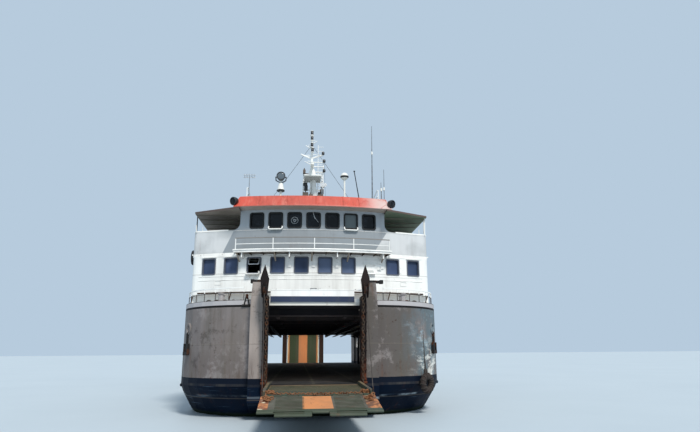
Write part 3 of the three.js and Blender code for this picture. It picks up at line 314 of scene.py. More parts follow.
def make_paints(paint):
    """Every finish of the ship, by name."""
    names = "hull_navy hull_grey hull_teal house_white ramp_orange ramp_green roof_orange".split()
    navy, grey, teal, white, orange, green, roof = (tuple(getattr(paint, name)) for name in names)
    # The deck edge colour is a grey darkened to stand for shade: painted shade.
    off_white, deck_edge_shade, dark_green = "E6E5E0", "B0ACAD", "31463A"

    def upper_hull(coat):
        """Starboard brown grey, port an older teal coat with scuffs, and the deck edge along the top."""
        fore = coat.y.rise(-8.0, -9.5)
        # Painted shade: the hull beside the port bow post is darker, against the key light from port.
        coat.lay("4E4A48", coat.x.rise(0.9, 1.1) * coat.x.rise(2.7, 2.0) * fore * 0.75)
        # Painted light: the starboard ear is lighter, against the shadow of the bow post's head on it.
        coat.lay("B0A49C", coat.x.band(-1.2, 0.3) * coat.y.rise(-10.38, -10.41) * 0.7)
        coat.lay("5F5654", coat.x.rise(-0.9, -1.4) * coat.z.rise(1.5, 1.1) * fore * 0.45)
        mottle = coat.noise(1.9, 9, 0.76)
        coat.lay("948D8B", mottle.rise(0.52, 0.62) * 0.6)
        coat.lay("4B4442", mottle.rise(0.44, 0.34) * 0.7)
        coat.lay("55504E", coat.noise(1.0, 6, 0.65, (7, 7, 0.7)).rise(0.52, 0.68) * 0.35)
        dark = coat.noise(3.1, 8, 0.72).rise(0.58, 0.64) * coat.noise(0.9, 3).rise(0.48, 0.58)
        coat.lay("37302E", dark * 0.7)
        shoulder = coat.x.rise(1.7, 2.5) * coat.y.rise(-7.0, -9.0)
        coat.lay(teal, coat.noise(1.1, 7, 0.7).rise(0.36, 0.56) * shoulder * 0.85)
        coat.lay("93A5AE", coat.noise(1.0, 9, 0.78, (1.3, 1.3, 2.2)).rise(0.53, 0.62) * shoulder * 0.75)
        scuff = coat.noise(1.0, 9, 0.75, (1.6, 1.6, 3.4)).rise(0.5, 0.57) * coat.z.rise(1.8, 0.95)
        coat.lay("E4E4DC", scuff * coat.x.rise(1.9, 2.7) * shoulder * 0.9)
        stain = coat.noise(1.0, 8, 0.7, (12, 12, 1.4)).rise(0.5, 0.66)
        coat.lay("5E5048", stain * coat.z.rise(1.25, 0.85) * 0.7)

    def hull_bands(coat):
        """Navy foot, and the dark line and pale deck edge along the top."""
        coat.lay(navy, (coat.noise(5, 5) * 0.02 + coat.z).rise(0.826, 0.82))
        ear = EAR_OUTER / 2
        outboard = coat.most(abs(coat.x).rise(ear - 0.004, ear), coat.y.rise(-10.42, -10.41))
        # Painted shadow: a dark line under the deck edge.
        coat.lay("1B191A", coat.z.rise(2.272, 2.278) * outboard)
        # Painted shade: the deck edge in a darkened grey.
        coat.lay(deck_edge_shade, coat.z.rise(2.32, 2.324) * outboard)

    def lower_hull(coat):
        """Scratches, a worn line above the water, weed at it and red below it."""
        scratch = coat.noise(1.0, 6, 0.7, (0.9, 0.9, 30)).rise(0.6, 0.66)
        coat.lay("7F9BB4", scratch * coat.z.band(0.42, 0.5, 0.2) * 0.3)
        # Partly wear, partly painted highlight: a pale line along a knuckle, stronger to port.
        chafe_and_highlight = (coat.z + coat.noise(0.7, 4) * 0.1).band(0.49, 0.02, 0.02)
        worn = chafe_and_highlight * coat.noise(0.8, 5, 0.7).rise(0.42, 0.6) * (coat.x.rise(0.0, 0.8) * 0.8 + 0.2)
        coat.lay("B9C6CE", worn * 0.75)
        coat.lay("26301F", (coat.noise(9, 8, 0.7) * 0.12 + coat.z).rise(0.17, 0.1) * 0.85)
        coat.lay("6A2B22", coat.z.rise(-0.02, -0.05))

    def decked(coat):
        worn = coat.noise(1.7, 7, 0.68).rise(0.45, 0.66)
        coat.lay(coat.mix(tuple(paint.deck_green), "5D5348", worn * 0.75), coat.up.rise(0.7, 0.9))

    def fore_rail(coat):
        """Deck edge and lower rails dark, the top rail white, the fore deck grey."""
        wide = abs(coat.x) - 1.175
        near = (wide * wide * 0.4 + (BOW / 2 + 0.5) - coat.y).rise(0.0, 0.01) * abs(coat.x).rise(1.18, 1.19)
        decked(coat)
        coat.lay("A39E99", coat.up.rise(0.7, 0.9) * coat.y.rise(-8.0, -8.1))
        coat.lay("A8A4A4", coat.y.rise(BOW / 2 + 1.4, BOW / 2 + 1.38) * coat.z.rise(2.44, 2.45))
        # Painted shade: the outer deck edge in a darkened grey.
        coat.lay(deck_edge_shade, near)
        coat.lay("3F3733", near * coat.z.rise(2.413, 2.418))
        coat.lay(white, near * coat.z.rise(2.6, 2.605))

    def rail_top(coat):
        coat.lay("6C6762", coat.z.rise(3.998, 4.0) * 0.9)

    def mast_shelf(coat):
        level = coat.z.band(5.925, 0.026, 0.004) * coat.y.band(-8.2, 0.5, 0.01)
        coat.lay("4A3A30", level * abs(coat.x + 0.015).rise(0.3, 0.28) * 0.85)

    def roof_streaks_and_sheen(coat):
        # Painted sheen: the roof is paler towards its port end at the front, a highlight of the sun on it.
        pale = coat.x.rise(1.05, 1.8) * coat.noise(2.2, 4).rise(0.2, 0.5) * coat.y.rise(-8.9, -9.2)
        streak = coat.noise(1.0, 6, 0.65, (7, 3, 1.5))
        coat.lay("CF7C6A", streak.rise(0.5, 0.66) * 0.45)
        coat.lay("9C3E2A", streak.rise(0.46, 0.32) * 0.6)
        coat.lay("CDBAB3", pale * 0.88)
        coat.lay("A53C28", coat.noise(1.0, 2, 0.5, (5, 0.4, 2)).band(0.5, 0.012, 0.006) * 0.7)
        coat.lay("8F9490", coat.up.rise(0.9, 0.97))
        coat.lay("B8A89C", coat.up.rise(-0.3, -0.6))

    def canopy(coat):
        """Green to port and brown to starboard below, with the posts white and grey."""
        to_port = coat.x.rise(-0.1, 0.1)
        port = coat.mix("5E6E58", "77816A", coat.noise(2.2, 5).rise(0.4, 0.65))
        starboard = coat.mix("94897D", "7A6F66", coat.noise(1.4, 4).rise(0.4, 0.65))
        coat.lay(coat.mix("4A4844", white, to_port), coat.z.rise(4.745, 4.74))
        # Painted light: the underside is lighter than the edge.
        coat.lay(coat.mix(starboard, port, to_port), coat.up.rise(-0.3, -0.6))

    def bridge_front(coat):
        """Grey between two slanting edges, light outboard of them."""
        port = (coat.z - 4.245) * 0.65 + 1.855
        starboard = (coat.z - 4.215) * 0.47 - 2.01
        # Painted light: the upper part is lighter, against the shade of the roof above it.
        coat.lay("A3A9AE", coat.z.rise(4.28, 4.4))
        outer = coat.most((coat.x - port).rise(-0.01, 0.01), (starboard - coat.x).rise(-0.01, 0.01))
        light = coat.mix("CCCDCD", "B8BABA", coat.noise(1.6, 4).rise(0.4, 0.65))
        coat.lay(light, outer * coat.z.rise(4.3, 4.28))

    def saloon_pane_reflection(coat):
        # Painted reflection: a lighter blue band across the front panes to port of the middle.
        coat.lay("6C7B98", coat.x.band(0.5, 0.9, 0.3) * coat.y.rise(-9.0, -9.01) * 0.7)

    def bridge_pane_reflection(coat):
        # Painted reflection: one front pane to port is lighter.
        coat.lay("646D6F", coat.x.band(0.942, 0.34) * coat.y.rise(-9.0, -9.01))

    def ceiling(coat):
        # Painted light: faces that look down are lighter, against the shade under the deck.
        coat.lay("55545A", coat.up.rise(-0.5, -0.8) * 0.6)
        coat.lay("D6D4CC", coat.y.rise(-10.73, -10.745))

    def house(coat):
        # Painted shade: faces that look down are darker.
        coat.lay("A9A49A", coat.up.rise(-0.4, -0.8) * 0.7)
        roof_grey = coat.mix("7C8580", "6B675F", coat.noise(1.3, 7, 0.68).rise(0.45, 0.66) * 0.7)
        coat.lay(roof_grey, coat.up.rise(0.8, 0.9) * coat.z.rise(4.8, 4.81))

    def ledge_deck(coat):
        # Painted shade: the ledge's underside at the front is dark brown.
        coat.lay("4A3A2C", coat.up.rise(-0.3, -0.7) * coat.y.rise(-8.9, -9.2) * 0.8)
        decked(coat)

    def ramp_top(coat):
        """Planks on the main ramp, and orange panels and strips on the flap, all worn."""
        edge = coat.colour
        worn = coat.noise(3.2, 8, 0.7)
        wide, flap = abs(coat.x + 0.03), coat.y.rise(-12.85, -12.9)
        coat.colour = coat.mix("6E5D42", "463C2B", worn.rise(0.42, 0.64))
        coat.lay(coat.mix("58564B", "413B31", worn.rise(0.38, 0.62)), coat.y.rise(-12.1, -12.35))
        coat.lay(orange, wide.rise(0.235, 0.225) * flap)
        patch = coat.noise(4, 6, 0.7)
        strip = coat.mix(coat.mix(orange, "7A4C34", patch.rise(0.44, 0.56)), "CFC2A2", patch.rise(0.6, 0.66))
        strip = coat.mix(strip, "4E3628", coat.noise(7, 8, 0.7).rise(0.4, 0.55) * coat.x.rise(0.0, 0.1) * 0.85)
        coat.lay(strip, wide.rise(0.745, 0.755) * flap)
        coat.lay("4A3A2C", coat.noise(5, 9, 0.72).rise(0.6, 0.66) * 0.7)
        coat.lay(edge, coat.y.rise(-13.79, -13.8))
        coat.colour = coat.mix(edge, coat.colour, coat.up.rise(0.5, 0.8))

    def stern_stripes(coat):
        wide = abs(coat.x)
        coat.colour = coat.mix(orange, "38482F", wide.rise(0.25, 0.255))
        coat.lay(orange, wide.rise(0.79, 0.795))
        coat.lay("D9C9A0", wide.rise(0.86, 0.865))
        coat.lay("54463A", coat.noise(4, 8, 0.7).rise(0.62, 0.68) * 0.5)

    def car_deck_paint(coat):
        lane = (abs(coat.x).band(0.92, 0.05) + coat.x.band(0.0, 0.05)) * coat.noise(4, 8, 0.7).rise(0.6, 0.45)
        coat.lay("8E8A7A", lane * 0.25)
        coat.lay(navy, coat.up.rise(0.6, 0.4))

    def post_foot(coat):
        coat.lay("5E3320", coat.z.rise(1.4, 0.75) * coat.noise(4, 7).rise(0.35, 0.6))

    def sign(coat):
        coat.lay(white, coat.z.rise(2.474, 2.478))

    def sooty(coat):
        coat.lay("1C1A1A", (coat.noise(2.5, 5) * 0.2 + coat.z).rise(4.93, 5.0))

    def ship_paint(name, colour, shadow, runs, spots, *rest):
        rust = {"roof_orange": "8A2F1E", "post_black": "5E3A26"}.get(name, tuple(paint.rust))
        return painted(name, colour, shadow, rust, runs * paint.wear, spots * paint.wear, *rest)

    # For ship's paint: colour, shadow, rust runs, rust spots, grime, roughness, then as painted() has it.
    recipes = {
        ship_paint: {
            "upper_hull": (grey, "746A65", 0.6, 0.8, 0.5, 0.5, upper_hull, (2.4, 1.0), 0.12, hull_bands),
            "lower_hull": (navy, "081A2E", 0.3, 0.5, 0.02, 0.5, lower_hull, (2.4, 0.8), 0.05),
            "house_white": (white, off_white, 0.34, 0.35, 0.22, 0.38, house, (2.1, 0.58)),
            "trim_white": (white, off_white, 0.3, 0.5, 0.2, 0.35),
            "rail_white": (white, off_white, 0.3, 0.5, 0.2, 0.35, rail_top),
            "mast_white": (white, off_white, 0.4, 0.5, 0.2, 0.35, mast_shelf),
            "deck_and_white": (white, off_white, 0.3, 0.6, 0.3, 0.5, ledge_deck),
            "hull_deck": (white, off_white, 0.35, 0.5, 0.1, 0.5, fore_rail),
            "bridge_grey": (tuple(paint.bridge_grey), "8B949B", 0.2, 0.25, 0.15, 0.42, bridge_front),
            "bulwark_grey": ("CCCDCD", "B8BABA", 0.3, 0.35, 0.25, 0.4),
            "roof_orange": (roof, "D2482F", 0.25, 0.3, 0.12, 0.4, roof_streaks_and_sheen),
            "canopy": ("5C4A44", "4A3A36", 0.5, 0.5, 0.3, 0.6, canopy),
            "canopy_rib": ("6F6A5C", "5A554B", 0.5, 0.5, 0.3, 0.6),
            "car_deck": ("2C2C2E", "36332F", 0.2, 0.8, 0.3, 0.65, car_deck_paint, None, 0.25),
            "under_deck": ("2A2A30", "323236", 0.3, 0.5, 0.15, 0.6, ceiling, None, 0.2),
            "casing_white": ("B9B7AE", "7D786E", 0.8, 0.7, 0.7, 0.5),
            "post_black": ("161315", "2B1F1B", 0.7, 1.0, 0.06, 0.6, post_foot, None, 0.15),
            "portal_brown": ("35241D", "241915", 0.7, 0.8, 0.2, 0.6, None, None, 0.25),
            "ramp": (green, dark_green, 0.5, 0.9, 0.3, 0.6, ramp_top),
            "stern_ramp": (green, dark_green, 0.7, 0.5, 0.3, 0.6, stern_stripes),
            "ramp_lip": (green, dark_green, 0.5, 0.9, 0.3, 0.6),
            "door_brown": ("8A5A3A", "6E452B", 0.3, 0.4, 0.25, 0.45),
            "funnel": (roof, "C9452E", 0.4, 0.5, 0.3, 0.45, sooty),
            "sign_navy": ("1B2C4A", "152644", 0.2, 0.3, 0.3, 0.4, sign),
            "lip_brown": ("4A3A30", "33281F", 0.8, 1.0, 0.3, 0.6, None, None, 0.2),
            "rusty_box": ("6E625A", "3E2A22", 1.0, 1.0, 0.5, 0.6, None, None, 0.2),
            "tank_blue": ("4E6A80", "5E7484", 0.5, 0.5, 0.3, 0.4),
            "brace_buff": ("A89C8E", "8A7C6E", 0.5, 0.6, 0.3, 0.5),
        },
        moulded: {
            "lamp_black": ("17171A", 0.35, 50), "rubber": ("101112", 0.7, 80, 0.35),
            "seal": ("565B66", 0.7, 80, 0.2), "tyre": ("17171A", 0.8, 40, 0.45),
            "raft_white": ("E4E2DA", 0.3, 30, 0.15, 0.4),
            "ring_orange": ("DE5A2B", 0.5, 50, 0.3), "old_rope": ("2B211D", 0.9, 60, 0.3),
            "rope": ("3A3430", 0.9, 140, 0.5), "signal_red": ("A0181C", 0.25, 40, 0.1),
            "signal_green": ("0E7A4A", 0.25, 40, 0.1),
        },
        steel: {
            "galvanised": ("9DA1A4", 0.35, 0.9, 0.2), "chain": ("8A5C3A", 0.65, 0.2, 0.9),
            "old_chain": ("46382C", 0.7, 0.2, 0.8), "cast_iron": ("1B191A", 0.6, 0.3, 0.6),
            "bronze": ("B5883E", 0.25), "bright_steel": ("C9CBCC", 0.22),
        },
        timber: {"bench_wood": ("8A5A33",)},
        pane: {
            "saloon_glass": ("2C3950", "4C5A7A", saloon_pane_reflection), "bridge_glass": ("050608", "10161D", bridge_pane_reflection),
            "lamp_glass": ("5B656C", "3A4248"),
        },
    }
    return {name: recipe(name, *row) for recipe, rows in recipes.items() for name, row in rows.items()}


PAINTS = {}

# The packed parts that wear each finish. A star stands for port and for starboard.
FINISH_PARTS = {
    "lower_hull": "hull_lower rudder_*", "car_deck": "car_deck", "upper_hull": "shell_*",
    "post_black": "bow_post_*", "under_deck": "bow_header deck_beams", "casing_white": "casing_*",
    "hull_deck": "passenger_deck", "sign_navy": "sign_board",
    "house_white": "saloon_front saloon_side_* saloon_aft wheelhouse_side_* wheelhouse_back crew_house",
    "saloon_glass": "saloon_front_glass saloon_glass_*", "bridge_glass": "bridge_front_glass",
    "door_brown": "saloon_door_* wheelhouse_door_* crew_door", "deck_and_white": "bridge_deck",
    "rail_white": "ledge_rail", "bridge_grey": "bridge_front", "roof_orange": "wheelhouse_roof",
    "canopy": "wing_canopy_*", "bulwark_grey": "wing_bulwark_*", "funnel": "funnel_*", "mast_white": "mast",
    "raft_white": "radar_scanner searchlight satellite_dome liferaft_*", "galvanised": "aerials windlass",
    "trim_white": "bridge_rail_* aft_rail", "portal_brown": "stern_portal", "ramp": "bow_ramp bow_flap",
    "stern_ramp": "stern_ramp", "bronze": "screw_*", "cast_iron": "anchor_*",
}

# The finishes that go in each colour slot. The others go in white_paint.
SLOT_FINISHES = {
    "grey_paint": "upper_hull", "navy_paint": "lower_hull tank_blue sign_navy", "bridge_grey": "bridge_grey",
    "orange_paint": "roof_orange funnel ring_orange signal_red", "deck_paint": "car_deck",
    "rust_brown": "canopy canopy_rib portal_brown door_brown brace_buff rusty_box lip_brown bench_wood",
    "black_paint": "under_deck post_black lamp_black rubber tyre seal rope old_rope cast_iron",
    "ramp_green": "ramp ramp_lip signal_green", "raft_white": "raft_white", "screw_bronze": "bronze",
    "galvanised": "galvanised chain old_chain bright_steel",
    "window_glass": "saloon_glass bridge_glass lamp_glass",
}


def with_finish(parts):
    """Turns words under a heading into the heading of each word."""
    return {
        word.replace("*", end): heading for heading, words in parts.items() for word in words.split()
        for end in ("port", "starboard")
    }


PART_FINISH, FINISH_SLOT = with_finish(FINISH_PARTS), with_finish(SLOT_FINISHES)


# Mesh making.


def at(x, y=0.0, z=0.0):
    return Matrix.Translation((x, y, z))


def turned(angle, place=(0, 0, 0), axis="Z"):
    return Matrix.Translation(place) @ Matrix.Rotation(angle, 4, axis)


def on_front(front, angle, z, out=0.0):
    """The place on the curved front at an angle: X along the wall, -Y outwards, Z up."""
    return turned(angle, (0, front + FRONT_RADIUS, z)) @ at(0, -FRONT_RADIUS - out)


def front_y(front, x):
    return front + FRONT_RADIUS - math.sqrt(FRONT_RADIUS**2 - x * x)


def facing(direction):
    """Turns +Z to a direction."""
    return Vector(direction).to_track_quat("Z", "Y").to_matrix().to_4x4()


def polar(radius, angle, z=0.0):
    return Vector((radius * math.cos(angle), radius * math.sin(angle), z))


def mirrored(point, side):
    return Vector((side * point[0], point[1], point[2]))


def rounded(width, height, radius, steps=4):
    """A rounded rectangle round the origin, in X and Z."""
    points = []
    for cx, cz, start in ((1, 1, 0), (-1, 1, 90), (-1, -1, 180), (1, -1, 270)):
        for step in range(steps + 1):
            corner = polar(radius, math.radians(start + 90 * step / steps))
            points.append((cx * (width / 2 - radius) + corner.x, cz * (height / 2 - radius) + corner.y))
    return points


class Shape:
    """The faces of one piece, in full-size metres, from a start that y and z give."""

    def __init__(self, y=0.0, z=0.0):
        self.mesh, self.start = bmesh.new(), (0.0, y, z)

    def loft(self, rings, cap=True, wrap=False):
        """Faces between rings of equally many points. wrap joins the last ring to the first."""
        rows = [[self.mesh.verts.new(p) for p in ring] for ring in rings]
        count = len(rows[0])
        for low, high in list(zip(rows, rows[1:])) + ([(rows[-1], rows[0])] if wrap else []):
            for i in range(count):
                j = (i + 1) % count
                self.mesh.faces.new((low[i], low[j], high[j], high[i]))
        if cap and not wrap:
            self.mesh.faces.new(list(reversed(rows[0])))
            self.mesh.faces.new(rows[-1])
        return self

    def box(self, x0, x1, y0, y1, z0, z1, place=Matrix()):
        corners = (x0, y0), (x1, y0), (x1, y1), (x0, y1)
        return self.loft([[place @ Vector((x, y, z)) for x, y in corners] for z in (z0, z1)])

    def lathe(self, profile, place=Matrix(), sides=16):
        """Turns pairs of radius and height round the local Z axis."""
        turns = [2 * math.pi * i / sides for i in range(sides)]
        return self.loft([[place @ polar(radius, a, height) for a in turns] for radius, height in profile])

    def bar(self, a, b, radius, end=None, sides=8, place=Matrix()):
        a, b = place @ Vector(a), place @ Vector(b)
        profile = [(radius, 0), (radius if end is None else end, (b - a).length)]
        return self.lathe(profile, Matrix.Translation(a) @ facing(b - a), sides)

    def tube(self, points, radius, sides=6, closed=False, place=Matrix()):
        """A round tube along points."""
        points = [place @ Vector(p) for p in points]
        count, rings, normal = len(points), [], None
        for i, p in enumerate(points):
            after = points[(i + 1) % count] if closed else points[min(i + 1, count - 1)]
            before = points[i - 1] if closed else points[max(i - 1, 0)]
            along = (after - before).normalized()
            if normal is None:
                normal = along.orthogonal().normalized()
            normal = (normal - along * normal.dot(along)).normalized()
            side = along.cross(normal)
            turns = [2 * math.pi * k / sides for k in range(sides)]
            rings.append([p + radius * (math.cos(t) * normal + math.sin(t) * side) for t in turns])
        return self.loft(rings, wrap=closed)

    def ring(self, place, major, minor, sides=20, around=8, stretch=1.0):
        """A torus round the local Z axis, stretched along local X."""
        points = [polar(major, 2 * math.pi * i / sides) for i in range(sides)]
        return self.tube([(stretch * p.x, p.y, 0) for p in points], minor, around, True, place)

    def plate(self, outline, low, high, place=Matrix(), axes="xz"):
        """An outline run between two depths along the axis that is left over."""
        spot = (lambda a, b, d: (a, d, b)) if axes == "xz" else (lambda a, b, d: (d, a, b))
        return self.loft([[place @ Vector(spot(a, b, depth)) for a, b in outline] for depth in (low, high)])

    def frame(self, place, width, height, band, low, high, radius=0.09, lap=0.02):
        """A flat rounded frame round an opening, in local X and Z, from one depth to another."""
        inner = rounded(width - 2 * lap, height - 2 * lap, radius)
        outer = rounded(width + 2 * band, height + 2 * band, radius + band * 0.7)
        loops = [(outer, high), (outer, low), (inner, low), (inner, high)]
        return self.loft([[place @ Vector((x, d, z)) for x, z in loop] for loop, d in loops], wrap=True)

    def ball(self, centre, radius, sides=12):
        steps = [math.pi * i / 8 for i in range(1, 8)]
        return self.lathe([(radius * math.sin(a), -radius * math.cos(a)) for a in steps], at(*centre), sides)

    def make(self, name, finish, bevel=0.0, body="hull"):
        """The finished object, at half size, riding on a body where one is named."""
        bmesh.ops.recalc_face_normals(self.mesh, faces=self.mesh.faces)
        bmesh.ops.translate(self.mesh, vec=self.start, verts=self.mesh.verts)
        bmesh.ops.scale(self.mesh, vec=(MODEL_SCALE,) * 3, verts=self.mesh.verts)
        data = bpy.data.meshes.new(name)
        self.mesh.to_mesh(data)
        self.mesh.free()
        piece = bpy.data.objects.new(name, data)
        bpy.context.scene.collection.objects.link(piece)
        data.materials.append(PAINTS[finish])
        data.polygons.foreach_set("use_smooth", [True] * len(data.polygons))
        data.set_sharp_from_angle(angle=SHARP_ANGLE)
        if bevel:
            edge = piece.modifiers.new("edge", "BEVEL")
            edge.width, edge.segments, edge.limit_method = bevel * MODEL_SCALE, 2, "ANGLE"
            edge.angle_limit, edge.harden_normals = BEVEL_ANGLE, True
        if body:
            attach(piece, body)
        return piece


def both(action):
    """Runs an action for port and for starboard. Used as a decorator, it does so on the spot."""
    for side, name in zip(SIDES, ("port", "starboard")):
        action(side, name)


# Windows.


def saloon_window(i, z=0.0, aside=0.0):
    return on_front(SALOON_FRONT, (i - 4.5) * 1.152 / FRONT_RADIUS - aside, SALOON_MIDDLE + z)


def bridge_window(i):
    return on_front(BRIDGE_FRONT, (i - 3) * 0.944 / FRONT_RADIUS, BRIDGE_MIDDLE)


def saloon_windows(fit):
    gaskets, drips, rims, sash, shelf = (Shape() for _ in range(5))
    for i in range(10):
        if i != BLANK_WINDOW:
            place = saloon_window(i)
            gaskets.frame(place, 0.69, 0.785, fit.gasket * 0.35, -0.022, 0.05, 0.07, 0.03)
            drips.box(-0.4, 0.4, -0.05, 0.0, 0.43, 0.455, place)
            rims.frame(place, 0.63, 0.72, 0.02, 0.03, 0.075, 0.05, 0.012)
    gaskets.make("saloon_front_gaskets", "seal")
    drips.make("saloon_front_drip_bars", "trim_white", 0.006)
    rims.make("saloon_front_pane_rims", "seal")

    @both
    def saloon_side(side, name):
        gaskets, drips, bars = Shape(), Shape(), Shape()
        for i in range(14):
            place = turned(side * QUARTER, (side * HOUSE_HALF, -15.85 + i * 1.65, SALOON_MIDDLE))
            gaskets.frame(place, 0.9, 0.785, fit.gasket, -0.022, 0.05, 0.08, 0.03)
            drips.box(-0.52, 0.52, -0.05, 0.0, 0.44, 0.465, place)
            bars.box(-0.02, 0.02, 0.03, 0.075, -0.37, 0.37, place)
        gaskets.make("saloon_gaskets_" + name, "rubber")
        drips.make("saloon_drip_bars_" + name, "trim_white", 0.006)
        bars.make("saloon_pane_bars_" + name, "bright_steel")

    spots = [(x, SALOON_AFT, SALOON_MIDDLE) for x in (-4.55, -1.15, 0.0, 1.15, 4.35)]
    windows = [(math.pi, spot, 0.7, 0.785, 0.05, 0.08) for spot in spots]
    glazed("saloon_aft", "saloon_glass", windows, fit.gasket, -0.022, (0.02, 0.015), (0.0, 0.02))

    place = saloon_window(OPEN_WINDOW)
    for x, top in ((-0.36, -0.41), (-0.36, -0.3), (0.27, -0.3)):
        shelf.box(x, 0.3 if top < -0.4 else x + 0.03, -0.2, 0.0, -0.45, top, place)
    for x in (-0.2, 0.16):
        shelf.plate([(0.0, -0.45), (-0.17, -0.45), (0.0, -0.62)], x, x + 0.02, place, "yz")
    shelf.make("open_window_shelf", "trim_white", 0.005)
    sash.frame(place @ turned(math.radians(-18), (0, -0.02, 0.2), "X"), 0.5, 0.32, 0.03, -0.03, 0.0, 0.05)
    sash.make("open_window_sash", "bright_steel")


def glazed(name, glass, windows, gasket, proud=-0.02, lap=(0.02, 0.02), pane=(-0.01, 0.005)):
    """Gaskets and panes of windows, each with its turn, place, width, height, depth and corner radius."""
    gaskets, panes = Shape(), Shape()
    for turn, spot, wide, high, depth, radius in windows:
        place = turned(turn, spot)
        gaskets.frame(place, wide, high, gasket, proud, depth, radius, 0.03)
        panes.plate(rounded(wide + lap[0], high + lap[1], 0.05), depth + pane[0], depth + pane[1], place)
    gaskets.make(name + "_gaskets", "rubber")
    panes.make(name + "_panes", glass)


def louvre_plates(fit):
    """White plates where one front window is blank, with slats, and small vents beside them."""
    place = saloon_window(BLANK_WINDOW)
    plates, boxes = Shape(), Shape()
    sizes = ((-0.1, 0.16, 0.62, 0.3), (0.42, 0.2, 0.2, 0.16), (0.42, -0.12, 0.2, 0.16), (-0.1, -0.2, 0.5, 0.16))
    for x, z, wide, high in sizes:
        spot, end = place @ at(x, 0, z), wide / 2 - 0.03
        plates.plate(rounded(wide, high, 0.025), -0.03, 0.0, spot)
        for k in range(1, int(high / 0.05)):
            slat = 0.05 * k - high / 2
            plates.plate([(-0.03, slat), (-0.055, slat - 0.02), (-0.03, slat + 0.006)], -end, end, spot, "yz")
    plates.box(-0.45, 0.2, -0.14, 0.0, -0.4, -0.375, place)
    plates.make("saloon_front_louvres", "trim_white", 0.004)
    for i in (3, 4, 5, 6, 8):
        for z in (0.22, -0.05):
            boxes.plate(rounded(0.16, 0.13, 0.02), -0.035, 0.0, saloon_window(i, z, 0.036))
    boxes.make("saloon_front_vent_boxes", "trim_white", 0.006)


def bridge_windows(fit):
    gaskets, rims, sills, disc, wipers = (Shape() for _ in range(5))
    sill = [(-0.34, -0.02, -0.32), (-0.34, -0.09, -0.42), (-0.28, -0.1, -0.47)]
    for i in range(7):
        place = bridge_window(i)
        gaskets.frame(place, 0.66, 0.75, fit.gasket * 0.7, -0.02, 0.05, 0.09, 0.03)
        rims.frame(place, 0.6, 0.69, 0.015, 0.02, 0.05, 0.07, 0.012)
        if i in (1, 5):
            sills.tube(sill + [mirrored(p, -1) for p in reversed(sill)], 0.035, 8, False, place)
            sills.box(-0.3, 0.3, -0.1, 0.0, -0.49, -0.46, place)
    gaskets.make("bridge_front_gaskets", "rubber")
    rims.make("bridge_pane_rims", "lamp_black")
    sills.make("bridge_window_sills", "trim_white")

    level = bridge_window(2) @ turned(QUARTER, (0, 0.05, 0.0), "X")
    disc.ring(level, 0.17, 0.014, 28, 8)
    disc.ring(level, 0.055, 0.02, 16, 8)
    for a in (0.3, 2.4, 4.5):
        disc.bar(polar(0.05, a), polar(0.16, a), 0.009, place=level)
    disc.make("clear_view_disc", "bright_steel")
    place = bridge_window(3)
    wipers.bar((-0.02, -0.05, 0.36), (-0.02, -0.02, 0.42), 0.03, place=place)
    wipers.bar((-0.02, -0.05, 0.38), (0.07, 0.0, 0.08), 0.012, place=place)
    wipers.bar((0.02, 0.0, 0.2), (0.24, 0.0, -0.1), 0.014, place=place)
    wipers.make("bridge_wipers", "bright_steel")

    middle, crew = BRIDGE_MIDDLE, BRIDGE_DECK + 1.45
    spots = [(s * QUARTER, (s * WHEELHOUSE_HALF, BOW + y, middle), 0.78, 0.75, 0.045, 0.09)
             for s in SIDES for y in (4.69, 7.19, 8.29)]
    spots += [(math.pi, (x, BOW + 9.2, middle), 0.7, 0.75, 0.045, 0.09) for x in (-2.25, 2.25)]
    spots += [(s * QUARTER, (s * 3.6, -10.74 + i * 1.7, crew), 0.6, 0.6, 0.04, 0.12)
              for s in SIDES for i in range(5)]
    glazed("upper_deck", "bridge_glass", spots, fit.gasket)


# House trim.


def arc_points(front, out, z, reach, steps=24):
    limit = math.asin(reach / FRONT_RADIUS)
    return [on_front(front, limit * (2 * i / steps - 1), z, out).to_translation() for i in range(steps + 1)]


def crew_roof(fit):
    """Gutter, hatch, cooler, tank and vents on the crew house roof."""
    gutter, hatch, fans, vents, tank = (Shape(z=CREW_ROOF) for _ in range(5))
    half, fore, aft = 3.72, -11.98, -2.25
    gutter.tube([(-half, fore, 0), (-half, aft, 0), (half, aft, 0), (half, fore, 0)], 0.03, 8)
    for x, y in ((-half, -9.5), (half, -9.5), (-half, -2.4), (half, -2.4)):
        gutter.bar((x, y, -0.02), (x * 0.975, y, BRIDGE_DECK + 0.01 - CREW_ROOF), 0.03)
    gutter.make("crew_roof_gutter", "trim_white")
    hatch.plate(rounded(1.1, 0.34, 0.06), -6.6, -5.6, at(1.3, 0, 0.16))
    hatch.box(0.7, 1.9, -6.66, -5.54, 0.3, 0.36)
    hatch.plate(rounded(1.3, 0.66, 0.05), -9.1, -8.2, at(-1.7, 0, 0.4))
    for x in (-2.2, -1.2):
        hatch.box(x - 0.06, x + 0.06, -9.0, -8.3, 0, 0.08)
    hatch.make("crew_roof_hatch", "trim_white", 0.012)
    for x in (-2.0, -1.4):
        for radius in (0.05, 0.13, 0.22):
            fans.ring(at(x, -8.65, 0.74), radius, 0.012, 24, 6)
    fans.make("crew_roof_fans", "galvanised")
    for x, y in ((-2.6, -4.0), (2.6, -4.0), (2.4, -9.6)):
        profile = [(0.13, 0), (0.13, 0.3), (0.26, 0.33), (0.27, 0.4), (0.17, 0.48), (0.02, 0.5)]
        vents.lathe(profile, at(x, y), 18)
    vents.make("crew_roof_vents", "trim_white")
    tank.lathe([(0.3, -0.7), (0.42, -0.6), (0.42, 0.6), (0.3, 0.7)], at(-0.6, -4.3, 0.5) @ TIP_Y, 24)
    for x in (-1.0, -0.2):
        tank.box(x - 0.04, x + 0.04, -4.62, -3.98, 0, 0.2)
    tank.bar((-0.6, -4.3, 0.85), (-0.6, -4.3, 0.98), 0.07)
    tank.make("crew_roof_tank", "tank_blue")


